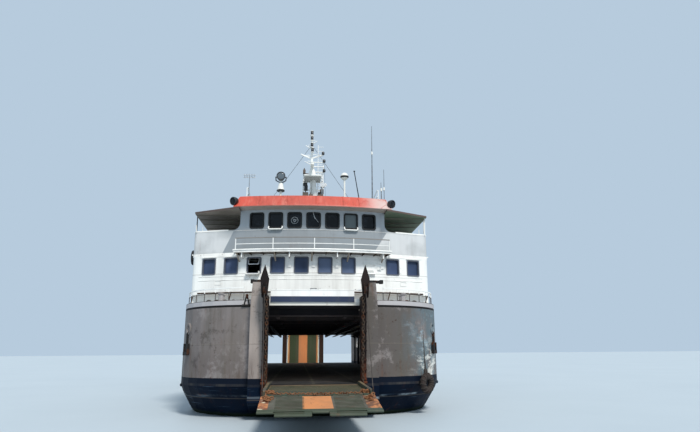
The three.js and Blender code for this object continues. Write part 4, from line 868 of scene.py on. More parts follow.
def house_trim(fit):
    """Seams, lips, rims, braces and frames of the houses."""
    lip, seams, rim, braces, under = (Shape() for _ in range(5))
    lip.tube(arc_points(SALOON_FRONT, 0.005, CAR_DECK + 4.06, 5.6), 0.035, 8)
    lip.make("saloon_lip_edge", "lip_brown")
    levels = [CAR_DECK + z for z in (4.67, 4.85, 5.83)]
    for z in levels:
        seams.tube(arc_points(SALOON_FRONT, 0.0, z, 5.6), fit.bead, 5)
    seams.tube(arc_points(BRIDGE_FRONT, 0.0, CAR_DECK + 7.16, 5.7), fit.bead, 5)
    for side in SIDES:
        for z in levels:
            seams.tube([(side * HOUSE_HALF, -17.2, z), (side * HOUSE_HALF, 7.9, z)], fit.bead, 5)
    seams.make("house_weld_seams", "house_white")
    rim.tube(arc_points(LEDGE_FRONT, 0.0, BRIDGE_DECK, 3.85), 0.04, 8)
    for side in SIDES:
        y, z = front_y(LEDGE_FRONT, 3.85), BRIDGE_DECK - 0.02
        rim.tube([(side * 3.85, y, BRIDGE_DECK), (side * 3.85, y + 0.75, BRIDGE_DECK)], 0.04, 8)
        path = (6.01, -17.2), (6.01, 0), (6.01, 16.98), (0.6, 16.98)
        rim.tube([(side * x, y, z) for x, y in path], 0.035, 8)
    rim.make("bridge_deck_rim", "trim_white")
    for x in (-3.7, -1.88, -0.08, 1.72, 3.52):
        place = on_front(LEDGE_FRONT, math.asin(x / FRONT_RADIUS), BRIDGE_DECK - 0.14)
        braces.bar((0, 0.06, 0), (0, 0.52, -0.34), 0.035, place=place)
    braces.make("ledge_braces", "brace_buff")
    for i in range(13):
        place = on_front(LEDGE_FRONT, math.asin(3.7 / FRONT_RADIUS) * (i / 6 - 1), BRIDGE_DECK - 0.125)
        under.box(-0.012, 0.012, 0.03, 0.5, -0.07, 0.005, place)
    under.make("ledge_frames", "lip_brown", 0.004)


def wing_gear(fit):
    """Rails, posts, ribs and lamps of the bridge wings."""

    @both
    def wing(side, name):
        caps, ribs, stays, screen, lamp = (Shape(BOW, CAR_DECK) for _ in range(5))
        caps.tube([(side * x, y, 7.2) for x, y in ((5.965, 4.4), (5.965, 8.465), (4.9, 8.465))], 0.045, 8)
        angles = [side * math.asin(x / FRONT_RADIUS) for x in (4.25, 4.7, 5.2, 5.75)]
        reach = [on_front(BRIDGE_FRONT - BOW, angle, 7.2, -0.035).to_translation() for angle in angles]
        caps.tube(reach + [(side * 5.93, 4.3, 7.2)], 0.045, 8)
        caps.bar((side * 5.9, 4.25, 7.2), (side * 5.92, 4.22, 8.12 if side > 0 else 7.55), 0.025)
        caps.bar((side * 5.6, 4.3, 7.2), (side * 5.6, 4.3, 7.5), 0.02)
        caps.make("wing_cap_" + name, "trim_white")
        top = ROOF_EDGE - CAR_DECK
        outline = [(side * x, top - z) for x, z in ((3.68, 0.085), (5.95, 0.085), (5.95, 0.11), (3.68, 0.16))]
        for y in (4.3, 5.3, 6.3, 7.3, 8.3):
            ribs.plate(outline, y, y + 0.03)
        ribs.make("canopy_ribs_" + name, "canopy_rib")
        for y in (5.2, 6.4, 7.6):
            stays.box(side * 5.86, side * 5.93, y, y + 0.03, BRIDGE_DECK - CAR_DECK, 7.15)
        stays.make("wing_stays_" + name, "bulwark_grey")
        for x, y in ((6.03, 5.0), (6.16, 5.86)):
            screen.box(side * 6.0, side * x, y, 5.9, 6.75, 7.15)
        screen.make("side_light_screen_" + name, "lamp_black", 0.006)
        lamp.lathe([(0.055, 0), (0.065, 0.03), (0.065, 0.18), (0.04, 0.22)], at(side * 6.1, 5.6, 6.8), 14)
        lamp.make("side_light_" + name, "signal_red" if side > 0 else "signal_green")

    ring = Shape().ring(at(-6.06, BOW + 4.75, CAR_DECK + 5.96) @ TIP_Y, 0.31, 0.07, 28, 10)
    ring.make("wing_ring_starboard", "tyre")


def roof_gear(fit):
    """Floodlights at the roof's ends, edge bead, seams and the roof rail."""
    edge, seam, rail = (Shape(BOW) for _ in range(3))
    roof_y = lambda x: 2.45 + x * x / (2 * FRONT_RADIUS)
    edge.tube([(x, roof_y(x), ROOF_EDGE + 0.03) for x in (-3.95 + 0.395 * i for i in range(21))], 0.028, 8)
    edge.make("roof_edge_bead", "roof_orange")
    for x in (-2.7, -1.3, 0.1, 1.45, 2.25):
        seam.tube([(x, roof_y(x) + 0.03, ROOF_EDGE + 0.09), (x, roof_y(x) + 0.5, ROOF_TOP - 0.03)], 0.014, 6)
    seam.make("roof_seams", "roof_orange")

    @both
    def floodlight(side, name):
        lamp, glass = Shape(BOW, CAR_DECK), Shape(BOW, CAR_DECK)
        spot = at(side * 3.91, 3.05, 8.53) @ facing((side * 0.9, -1, -0.3))
        shell = [(0.1, -0.12), (0.17, -0.1), (0.2, 0.0), (0.215, 0.1), (0.2, 0.14), (0.17, 0.13), (0.16, 0.09)]
        lamp.lathe(shell, spot, 20)
        lamp.bar((side * 3.8, 3.2, 8.5), (side * 3.7, 3.45, 8.45), 0.035)
        lamp.make("roof_lamp_" + name, "lamp_black")
        glass.lathe([(0.165, 0.1), (0.1, 0.125), (0.02, 0.13)], spot, 20)
        glass.make("roof_lamp_glass_" + name, "bridge_glass")

    for z in (ROOF_TOP + 0.35, ROOF_TOP + 0.7):
        rail.tube([(-3.4, 4.2, z), (-3.5, 9.0, z), (3.5, 9.0, z), (3.4, 4.2, z)], 0.022, 8)
    feet = [(side * 3.45, y) for side in SIDES for y in (4.2, 5.8, 7.4)]
    for x, y in feet + [(x, 9.0) for x in (-3.5, -1.7, 0, 1.7, 3.5)]:
        rail.bar((x, y, ROOF_TOP - 0.01), (x, y, ROOF_TOP + 0.7), 0.022)
    rail.make("roof_rail", "trim_white")


def mast_gear(fit):
    """Lamps, brackets, ladder and boxes on the mast, and the scanner's ribs and motor."""
    lamps, brackets, boxes, gear, horn, stays = (Shape(MAST_Y, CAR_DECK) for _ in range(6))
    roof = ROOF_TOP - CAR_DECK
    for z, dx in ((13.22, 0.0), (12.9, 0.0), (12.5, 0.0), (12.2, 0.03)):
        spot = at(MAST_X + dx, -0.2, z)
        lamps.lathe([(0.05, -0.1), (0.075, -0.08), (0.075, 0.08), (0.05, 0.12)], spot, 12)
        brackets.lathe([(0.1, -0.13), (0.1, -0.11)], spot, 12)
        brackets.lathe([(0.1, 0.12), (0.07, 0.15)], spot, 12)
        brackets.bar((MAST_X, 0, z - 0.12), (MAST_X + dx, -0.22, z - 0.12), 0.025)
    for x, z in ((0.62, 11.62), (0.62, 11.05), (0.56, 12.08)):
        lamps.lathe([(0.05, -0.08), (0.08, -0.06), (0.08, 0.06), (0.05, 0.1)], at(x, -0.05, z), 12)
    lamps.make("mast_lamps", "lamp_black")
    arms = (12.75, 0.32), (12.45, -0.35), (11.9, 0.45), (11.85, -0.5), (11.5, -0.4), (10.75, -0.45), (10.5, 0.5)
    for z, reach in arms:
        brackets.bar((MAST_X, 0, z - 0.1), (MAST_X + reach, -0.05, z + 0.08), 0.03, 0.02)
        brackets.bar((MAST_X, 0, z + 0.12), (MAST_X + reach * 0.6, -0.05, z + 0.1), 0.018)
    for i in range(14):
        z = 9.1 + i * 0.26
        brackets.bar((0.28, 0, z), (0.58, 0, z), 0.012)
    for x in (0.28, 0.58):
        brackets.bar((x, 0, roof), (x, 0, 12.6 - (x - 0.28) * 3), 0.018)
    for x in (-0.45, 0.45):
        brackets.bar((x * 0.4, -0.4, roof), (x * 0.1 - 0.05, -0.05, 11.2), 0.03)
    brackets.make("mast_brackets", "trim_white")

    def case(shape, x, y, z, wide, high, deep):
        shape.box(x - wide / 2, x + wide / 2, y - deep, y + deep, z - high / 2, z + high / 2)

    small = (-0.38, -0.3, 9.95, 0.2, 0.3), (-0.3, -0.35, 10.6, 0.16, 0.26), (-0.42, 0.0, 10.25, 0.24, 0.16)
    for size in small + ((0.38, -0.1, 9.6, 0.18, 0.36),):
        case(boxes, *size, 0.08)
    boxes.make("mast_boxes", "lamp_black", 0.015)
    large = (-0.4, -0.35, 9.5, 0.3, 0.34), (-0.12, -0.5, 9.42, 0.22, 0.2), (0.42, -0.3, 9.42, 0.3, 0.3)
    for x, y, z, w, h in large + ((0.5, 0.1, 9.85, 0.2, 0.3), (-0.48, -0.1, 10.95, 0.14, 0.2)):
        case(gear, x, y, z, w, h, 0.12)
        gear.bar((x, y, z + h / 2), (x, y, z + h / 2 + 0.12), 0.03)
    gear.bar((-0.48, -0.1, 10.85), (-0.05, 0, 10.85), 0.03)
    gear.make("mast_foot_boxes", "rusty_box", 0.02)
    for x in (0.45, 0.61):
        spot = at(x, -0.25, 10.05) @ facing((0.1, -1, 0.05))
        horn.lathe([(0.03, -0.1), (0.035, 0.1), (0.05, 0.22), (0.1, 0.34), (0.11, 0.35)], spot, 14)
    horn.bar((0.5, -0.2, 9.6), (0.5, -0.2, 10.05), 0.03)
    horn.make("mast_horns", "bright_steel")
    for x in (-3.4, 3.4):
        stays.bar((MAST_X, 0, 12.6), (x, 3.4, roof), 0.009, sides=6)
    stays.bar((0.62, 0, 11.55), (0.75, 0.3, roof), 0.006, sides=5)
    stays.make("mast_stays", "rope")
    ribs, motor = Shape(SCANNER_Y, CAR_DECK), Shape(SCANNER_Y, CAR_DECK)
    ribs.box(-0.14, 0.02, -0.69, 0.69, 11.01, 11.04)
    for k in range(-5, 6):
        ribs.box(-0.138, 0.018, k * 0.12 - 0.008, k * 0.12 + 0.008, 10.9, 11.035)
    ribs.make("scanner_ribs", "raft_white", 0.006, "radar_scanner")
    motor.lathe([(0.2, 0.0), (0.21, 0.05), (0.17, 0.22), (0.14, 0.3)], at(-0.06, 0, 10.5), 16)
    motor.make("scanner_motor", "raft_white")


def roof_signals(fit):
    """Searchlight, aerials and dome details."""
    lamp, glass, dish, mast, pole, vents = (Shape(BOW, CAR_DECK) for _ in range(6))
    x, y, z = -1.72, 4.5, 10.31
    spot = at(x, y, z) @ facing((0.0, -1, 0.08))
    shell = [(0.1, -0.2), (0.17, -0.16), (0.215, 0.0), (0.225, 0.17), (0.235, 0.18), (0.235, 0.21), (0.2, 0.21)]
    lamp.lathe(shell + [(0.19, 0.18)], spot, 24)
    yoke = (-0.27, z), (-0.26, 10.12), (-0.1, 10.03), (0.1, 10.03), (0.26, 10.12), (0.27, z)
    lamp.tube([(x + dx, y, up) for dx, up in yoke], 0.03, 8)
    lamp.bar((x - 0.3, y, z), (x + 0.3, y, z), 0.03)
    lamp.lathe([(0.205, 0.0), (0.22, 0.04), (0.19, 0.08)], at(x, y, 9.52), 20)
    lamp.make("searchlight_lamp", "lamp_black")
    glass.lathe([(0.19, 0.185), (0.12, 0.2), (0.02, 0.205)], spot, 24)
    glass.make("searchlight_glass", "lamp_glass")
    dish.lathe([(0.06, -0.2), (0.1, -0.17), (0.225, -0.06), (0.235, 0.0)], at(1.72, 5.0, 10.6), 24)
    dish.make("dome_base", "lamp_black")
    for z in (10.32, 10.46):
        mast.bar((-3.7, 4.7, z), (-3.06, 4.7, z), 0.012)
    for k in range(-3, 4):
        x = -3.4 + k * 0.09
        mast.bar((x, 4.52, 10.4), (x, 4.9, 10.4), 0.01)
        mast.bar((x, 4.7, 10.28), (x, 4.7, 10.52), 0.01)
    mast.make("television_aerial", "bright_steel")
    pole.bar((2.53, 4.66, ROOF_TOP - CAR_DECK), (2.23, 4.66, 10.76), 0.024)
    pole.ball((2.23, 4.68, 10.8), 0.05)
    pole.make("leaning_pole", "lamp_black")
    for x, z in ((3.22, 11.8), (3.7, 9.7), (3.85, 9.75)):
        collar = Shape(BOW, CAR_DECK)
        collar.lathe([(0.03, 0), (0.05, 0.02), (0.05, 0.16), (0.03, 0.18)], at(x, 4.7, z), 10)
        collar.make("aerial_collar_%d" % round(x * 100), "raft_white")
    profile = [(0.11, 0), (0.11, 0.3), (0.22, 0.32), (0.23, 0.38), (0.15, 0.46), (0.02, 0.48)]
    for x, y in ((-2.4, 6.8), (2.2, 7.4), (0.9, 7.9)):
        vents.lathe(profile, at(x, y, ROOF_TOP - CAR_DECK), 16)
    vents.make("roof_vents", "trim_white")


# Hull, decks and ramps.


def chain(shape, points, link, radius):
    """Links laid along points, every other one turned."""
    path = [Vector(p) for p in points]
    lengths = [(b - a).length for a, b in zip(path, path[1:])]
    pitch = link * 0.72
    for n in range(int(sum(lengths) / pitch)):
        reach, i = n * pitch, 0
        while i < len(lengths) - 1 and reach > lengths[i]:
            reach -= lengths[i]
            i += 1
        along = (path[i + 1] - path[i]).normalized()
        place = Matrix.Translation(path[i] + along * reach) @ facing(along)
        shape.ring(place @ Matrix.Rotation(n % 2 * QUARTER, 4, "Z") @ TIP_Y, link * 0.3, radius, 10, 6, 1.55)


def post_gear(fit):
    """Chain strips, brackets and sheaves of the bow posts, and the bars of the ears."""
    rake = lambda z: -0.27 - z / 4.75 * 0.64

    @both
    def post(side, name):
        links, face, head, bar = (Shape(BOW, CAR_DECK) for _ in range(4))
        rng = random.Random(side + 5)
        x = side * (OPENING_HALF + 0.05)
        heights = [0.1 + 0.2 * k for k in range(18)]
        chain(links, [(x + side * rng.uniform(0.0, 0.03), rake(z) - 0.06, z) for z in heights], fit.link, 0.022)
        links.make("post_chain_" + name, "old_chain")
        for z in (0.15 + k * 0.38 for k in range(9)):
            face.box(side * 1.92, side * 2.14, rake(z), rake(z) + 0.12, z, z + 0.05)
        for z in (3.42, 0.02):
            face.box(side * 1.905, side * 2.15, rake(z) - 0.06, -0.03, z, z + 0.09)
        face.make("post_brackets_" + name, "post_black", 0.01)
        wheel = [(0.1, -0.06), (0.2, -0.05), (0.16, -0.02), (0.16, 0.02), (0.2, 0.05), (0.1, 0.06)]
        head.lathe(wheel, at(side * 2.08, -0.84, 3.72) @ TIP_Y, 20)
        for x in (2.0, 2.16):
            head.box(side * x, side * (x + 0.02), -1.0, -0.7, 3.55, 4.0)
        head.make("post_sheave_" + name, "cast_iron", 0.006)
        end = 2.95 if side > 0 else 2.72
        bar.box(side * 2.14, side * end, 0.05, 0.22, 4.13, 4.25)
        bar.box(side * (end - 0.16), side * end, 0.03, 0.24, 4.11, 4.27)
        bar.make("ear_bar_" + name, "cast_iron", 0.012)


def wires(fit):
    """Hoist wires of the bow ramp, which bend as it swings, and the latches of the stern ramp."""

    def lug(eye, end, name, foot=None):
        lugs = Shape()
        lugs.ring(at(*eye) @ TIP_Y, 0.06, 0.022, 16, 8)
        lugs.plate([(-0.1, -0.14), (0.1, -0.14), (0.05, 0.0), (-0.05, 0.0)], -0.02, 0.02, at(*eye), "yz")
        if foot:
            lugs.box(*foot, eye.y - 0.1, eye.y + 0.04, eye.z - 0.22, eye.z - 0.12)
        lugs.make(end + "_ramp_lug_" + name, "cast_iron", 0.006, end + "_ramp")

    @both
    def wire(side, name):
        top = Vector((side * 2.07, BOW - 0.9, CAR_DECK + 3.62))
        eye = Vector((side * 1.83, BOW - 4.3, CAR_DECK + 0.06))
        line = Shape().tube([top.lerp(eye, i / 30) for i in range(31)], fit.wire, 6)
        piece = line.make("bow_hoist_wire_" + name, "rope", 0, None)
        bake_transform(piece)
        lug(eye, "bow", name)

    @both
    def latch(side, name):
        low = CAR_DECK + 2.9
        lug(Vector((side * 1.93, STERN + 0.2, low + 0.12)), "stern", name, (side * 1.84, side * 1.95))
        hook = Shape(STERN, low)
        hook.box(side * 1.97, side * 2.3, -0.02, 0.06, 0.0, 0.2)
        outline = [(0.05, 0.02), (0.34, 0.06), (0.34, 0.2), (0.29, 0.2), (0.27, 0.13), (0.05, 0.18)]
        hook.plate(outline, -0.02, 0.02, at(side * 2.0), "yz")
        hook.make("stern_latch_" + name, "cast_iron", 0.01)


def hull_half(y):
    """Half of the beam, which narrows a little aft."""
    return HULL_HALF - max(0, (y - TAPER_START) / TAPER_LENGTH) * TAPER


def hull_side(t):
    """A point of the deck outline, port side, and the way out from it. t runs from 0 at the bow to 1 aft."""
    shoulder = 0.15
    if t < shoulder:
        across, along = math.sin(t / shoulder * QUARTER), math.cos(t / shoulder * QUARTER)
        x, y = HULL_HALF - SHOULDER_WIDE * (1 - across), BOW + 0.5 + SHOULDER_LONG * (1 - along)
        return Vector((x, y, 0)), Vector((SHOULDER_LONG * across, -SHOULDER_WIDE * along, 0)).normalized()
    y = SHOULDER_AFT + (t - shoulder) / (1 - shoulder) * (STERN - SHOULDER_AFT)
    return Vector((hull_half(y), y, 0)), Vector((1, 0, 0))


def hull_gear(fit):
    """Rubbing strake, port rims, hawse pipes, outlets and tyres along both sides."""

    @both
    def hull(side, name):
        strake, rims, bars, hawse, outlets, tyres, slings = (Shape() for _ in range(7))
        path = []
        for i in range(60):
            spot, out = hull_side(0.13 + 0.87 * i / 59)
            path.append(mirrored(spot + out * -0.02 + Vector((0, 0, CAR_DECK - 0.14)), side))
        strake.tube(path, 0.075, 8)
        strake.make("rubbing_strake_" + name, "lower_hull")
        for i in range(9):
            y = -10.55 + i * 3.3
            place = turned(side * QUARTER, (side * hull_half(y), y, CAR_DECK + 2.2))
            rims.frame(place, 1.9, 1.0, 0.07, -0.03, 0.0, 0.03, 0.0)
            for x in (-0.48, 0.0, 0.48):
                bars.bar((x, 0.06, -0.52), (x, 0.06, 0.52), 0.018, place=place)
            bars.bar((-0.97, 0.06, 0), (0.97, 0.06, 0), 0.018, place=place)
        rims.make("port_rims_" + name, "upper_hull", 0.006)
        bars.make("port_bars_" + name, "trim_white")
        place = turned(side * math.atan2(0.57, 0.337), (side * 5.553, BOW + 2.252, CAR_DECK + 2.3)) @ TIP_X
        hawse.ring(place, 0.21, 0.06, 24, 10)
        hawse.make("hawse_lip_" + name, "upper_hull")
        holes = (-13.2, 1.9), (-7.4, 1.75), (-1.2, 1.9), (1.6, 0.75), (6.4, 0.8), (9.9, 1.75), (15.9, 1.9)
        for y, z in holes:
            x = (HULL_HALF if y < TAPER_START else 5.95) - (0.03 if z < 1 else 0)
            spot = turned(side * QUARTER, (side * x, y, z)) @ TIP_X
            outlets.lathe([(0.07, -0.02), (0.09, -0.02), (0.09, 0.06), (0.065, 0.06), (0.065, 0.0)], spot, 14)
        outlets.make("outlets_" + name, "upper_hull")
        for t in (0.42, 0.62, 0.82, 0.985):
            spot, out = hull_side(t)
            centre = mirrored(spot + out * 0.06 + Vector((0, 0, CAR_DECK - 0.05)), side)
            tyres.ring(at(*centre) @ TIP_Y, 0.3, 0.1, 26, 10)
            head = mirrored(spot + Vector((0.03, 0, HULL_TOP - 0.1)), side)
            slings.bar(centre + Vector((0, 0, 0.2)), head, 0.015, sides=6)
        tyres.make("side_tyres_" + name, "tyre")
        slings.make("tyre_slings_" + name, "chain")

    fender, strands, sling = Shape(BOW, CAR_DECK), Shape(BOW, CAR_DECK), Shape(BOW, CAR_DECK)
    spot = turned(math.radians(40), (5.02, 1.35, -0.1)) @ TIP_X
    fender.ring(spot, 0.3, 0.13, 28, 12)
    fender.make("shoulder_tyre", "old_rope")
    turns = [0.5 * j for j in range(13)]
    coil = [(0.3 + 0.14 * math.cos(b), 0.06 * math.sin(b * 0.5), 0.14 * math.sin(b)) for b in turns]
    for k in range(14):
        strands.tube(coil, 0.018, 5, False, spot @ Matrix.Rotation(2 * math.pi * k / 14, 4, "Z"))
    strands.make("shoulder_tyre_strands", "rope")
    for dx, wide in ((-0.04, 0.045), (0.06, 0.035)):
        sling.tube([(5.0 + dx, 1.36, 0.15), (4.99 + dx * 0.6, 1.42, 0.5)], wide, 8)
    sling.tube([(5.0, 1.4, 0.45), (4.98, 1.5, 0.9), (4.9, 1.5, HULL_TOP - 0.02 - CAR_DECK)], 0.024, 6)
    sling.make("shoulder_tyre_sling", "rope")


def fore_deck(fit):
    """Anchor cables, stays, plates, windlass gear and the roller stand beside the bow posts, and deck vents."""
    cable, gear = Shape(BOW, PASSENGER_DECK), Shape(BOW, PASSENGER_DECK)
    stand, stays, plates, returns, vents = (Shape() for _ in range(5))
    route = [(0.45, 1.75, 0.42), (0.7, 1.75, 0.1), (2.9, 2.0, 0.05), (4.6, 2.15, 0.05), (5.1, 2.3, 0.03)]
    for side in SIDES:
        chain(cable, [mirrored(p, side) for p in route], 0.26, 0.026)
    cable.make("anchor_cables", "old_chain")
    x, y, foot, head = -2.89, BOW + 0.5, CAR_DECK + 3.22, CAR_DECK + 3.62
    for dx in (-0.11, 0.11):
        stand.bar((x + dx, y, foot), (x + dx * 0.2, y, head), 0.028)
    stand.bar((x - 0.03, y, head - 0.12), (x + 0.03, y, head + 0.03), 0.05)
    stand.ball((x, y, head + 0.03), 0.055)
    stand.box(x - 0.2, x + 0.2, y - 0.03, y + 0.06, foot - 0.03, foot + 0.03)
    stand.make("fore_roller_stand", "cast_iron")
    top = CAR_DECK + 3.84
    for x in (-1.76, 0.02, 1.62):
        stays.bar((x, front_y(SALOON_FRONT, x) + 0.02, CAR_DECK + 4.02), (x + 0.12, BOW + 0.02, top), 0.028)
    for x, lean, y in ((-5.72, 0.08, 3.0), (-3.72, 0.1, 0.95), (3.25, 0.13, 0.8), (5.32, 0.17, 2.5)):
        stays.bar((x, BOW + y, PASSENGER_DECK - 0.05), (x + lean, BOW + y + 0.04, top), 0.026)
    stays.make("fore_stays", "lip_brown")
    for x, z in ((-4.6, 4.55), (4.54, 4.53)):
        spot = on_front(SALOON_FRONT, math.asin(x / FRONT_RADIUS), CAR_DECK + z)
        plates.frame(spot, 0.3, 0.17, 0.02, -0.012, 0.0, 0.02, 0.0)
    plates.make("saloon_front_hatches", "trim_white")
    foot, head, y = PASSENGER_DECK, CAR_DECK + 4.01, SALOON_SIDE_START
    for side in SIDES:
        outline = [(side * 5.62, foot), (side * 5.95, foot), (side * 5.95, head), (side * 5.62, head)]
        returns.plate(outline, y - 0.025, y - 0.003)
        returns.bar((side * 5.935, y - 0.02, foot), (side * 5.935, y - 0.02, head), 0.018)
    returns.make("plinth_returns", "trim_white", 0.004)
    for x in (-0.75, -0.15, 0.15, 0.75):
        for k in range(8):
            a = k * math.pi / 4
            gear.bar(polar(0.12, a, 0.045), polar(0.22, a, 0.045), 0.014, place=at(x, 1.95, 0.34) @ TIP_Y)
    gear.box(-0.13, 0.13, 1.75, 2.35, 0.12, 0.5)
    gear.lathe([(0.12, -0.16), (0.14, -0.14), (0.14, 0.14), (0.1, 0.17)], at(0, 2.2, 0.56) @ TIP_Y, 16)
    gear.make("windlass_gear", "galvanised", 0.008)
    cowl = [(0.13, 0), (0.13, 0.75), (0.27, 0.78), (0.28, 0.85), (0.18, 0.93), (0.02, 0.95)]
    for x, y in ((4.9, 14.5), (2.5, 3.6), (1.2, 11.5), (3.2, -0.6)):
        for side in SIDES:
            vents.lathe(cowl, at(side * x, y, PASSENGER_DECK if y > 14 else BRIDGE_DECK), 18)
    vents.make("deck_vents", "trim_white")


def ramp_top(y):
    """Height of the bow ramp's top over the vehicle deck, at a place along it from the bow."""
    return (y + 0.06) / 4.26 * 0.075 - 0.025


def flap_top(y):
    return (y + 4.6) * 0.16 - 0.12


def ramp_gear(fit):
    """Treads, straps, chain heaps, lips and ribs of the bow ramp and its flap, and ribs of the stern ramp."""
    treads, tracks, lips, straps, heap, slack, ribs = (Shape(BOW, CAR_DECK) for _ in range(7))
    for y in (-0.75 - k * 0.22 for k in range(16)):
        treads.box(-1.7, 1.7, y - 0.014, y + 0.014, ramp_top(y) - 0.01, ramp_top(y) + 0.012)
    treads.make("ramp_treads", "ramp", 0, "bow_ramp")
    for side in SIDES:
        for y in (-4.75 - k * 0.158 for k in range(12)):
            z = flap_top(y) if y > -6.33 else (y + 6.35) * 0.16 - 0.41
            tracks.box(side * 0.47, side * 1.36, y - 0.02, y + 0.02, z - 0.015, z + 0.016)
        for x0, x1, y, z in ((0.26, 1.33, -6.62, -0.49), (1.38, 1.855, -6.35, -0.43)):
            lips.bar((side * x0, y, z), (side * x1, y, z), 0.035)
        z = ramp_top(-4.25)
        for x in (0.55, 1.1, 1.6):
            straps.box(side * x - 0.09, side * x + 0.09, -4.38, -4.12, z - 0.02, z + 0.02)
            hinge = at(side * x, FLAP_HINGE[0] - BOW, FLAP_HINGE[1] - CAR_DECK) @ TIP_Y
            straps.lathe([(0.085, -0.09), (0.1, -0.08), (0.1, 0.08), (0.085, 0.09)], hinge, 16)
    lips.bar((-0.24, -6.35, -0.43), (0.24, -6.35, -0.43), 0.035)
    tracks.make("flap_treads", "ramp", 0, "bow_flap")
    lips.make("flap_lips", "ramp_lip", 0, "bow_flap")
    straps.make("ramp_straps", "ramp_lip", 0.006, "bow_ramp")
    rng = random.Random(4)
    for side in SIDES:
        path, x = [], side * 1.62
        for y in (-3.55 - k * 0.045 for k in range(16)):
            path.append((x + rng.uniform(-0.13, 0.13), y, ramp_top(y) + 0.03 + rng.uniform(0, 0.05)))
        chain(heap, path, 0.15, 0.02)
        path = []
        for k in range(14):
            x, y = side * (1.66 - 0.01 * k) + rng.uniform(-0.12, 0.12), -4.7 - k * 0.05
            path.append((x, y, flap_top(y) + 0.03 + rng.uniform(0, 0.04)))
        chain(slack, path, 0.15, 0.02)
    wave = [0.06 * math.sin(k * 1.7) + 0.1 * math.cos(k * 0.21) - 4.2 for k in range(31)]
    chain(heap, [(-1.5 + 0.1 * k, y, ramp_top(-4.2) + 0.03) for k, y in enumerate(wave)], 0.12, 0.014)
    heap.make("ramp_chains", "chain", 0, "bow_ramp")
    slack.make("flap_chains", "chain", 0, "bow_flap")
    for x in (-1.6, -0.8, 0.0, 0.8, 1.6):
        ribs.plate([(-0.8, -0.31), (-4.2, -0.31), (-4.2, -0.42), (-1.2, -0.47)], x - 0.02, x + 0.02, axes="yz")
    for k in range(4):
        ribs.box(-1.8, 1.8, -1.2 - k, -1.17 - k, -0.42, -0.31)
    ribs.make("ramp_ribs", "ramp_lip", 0.004, "bow_ramp")

    back, grip = Shape(STERN, CAR_DECK), Shape(STERN, CAR_DECK)
    for x in (-1.7, -1.02, -0.34, 0.34, 1.02, 1.7):
        back.box(x - 0.03, x + 0.03, 0.25, 0.33, 0.1, 4.3)
    for k in range(6):
        back.box(-1.8, 1.8, 0.25, 0.31, 0.4 + k * 0.75, 0.45 + k * 0.75)
    back.make("stern_ramp_ribs", "ramp_lip", 0.006, "stern_ramp")
    for z in (0.3 + k * 0.17 for k in range(24)):
        grip.box(-1.7, 1.7, 0.022, 0.045, z - 0.015, z + 0.015)
    grip.make("stern_ramp_treads", "stern_ramp", 0, "stern_ramp")


def car_deck_gear(fit):
    """Side frames, pipes, lamps and boxes of the vehicle deck."""
    frames, pipes, lamps, boxes = (Shape() for _ in range(4))
    top = HULL_TOP - 0.3
    knee = [(5.88, CAR_DECK), (5.7, CAR_DECK), (5.74, top - 0.3), (5.2, top), (5.88, top)]
    for side in SIDES:
        for y in [-17.4, -15.8, -13.8] + [-12.2 + 3.3 * i for i in range(10)]:
            if not -4.9 < y < 3.2:
                frames.plate(knee, y - 0.04, y + 0.04, Matrix.Scale(side, 4, (1, 0, 0)))
        for x, down, radius in ((3.4, 0.38, 0.05), (3.62, 0.36, 0.03), (4.3, 0.36, 0.06)):
            pipes.bar((side * x, BOW + 3.2, HULL_TOP - down), (side * x, STERN - 2.2, HULL_TOP - down), radius)
        for y in (-16.5 + k * 5.6 for k in range(7)):
            lamps.plate(rounded(0.16, 0.07, 0.03), y - 0.45, y + 0.45, at(side * 1.7, 0, HULL_TOP - 0.36))
        for y in (-3.6, -1.2, 1.5):
            place = turned(-side * QUARTER, (side * 4.7, y, CAR_DECK + 1.2))
            boxes.plate(rounded(0.62, 0.72, 0.06), -0.16, 0.0, place)
    frames.make("car_deck_frames", "under_deck")
    pipes.make("car_deck_pipes", "casing_white")
    lamps.make("car_deck_lamps", "under_deck")
    boxes.make("hydrant_boxes", "signal_red", 0.01)


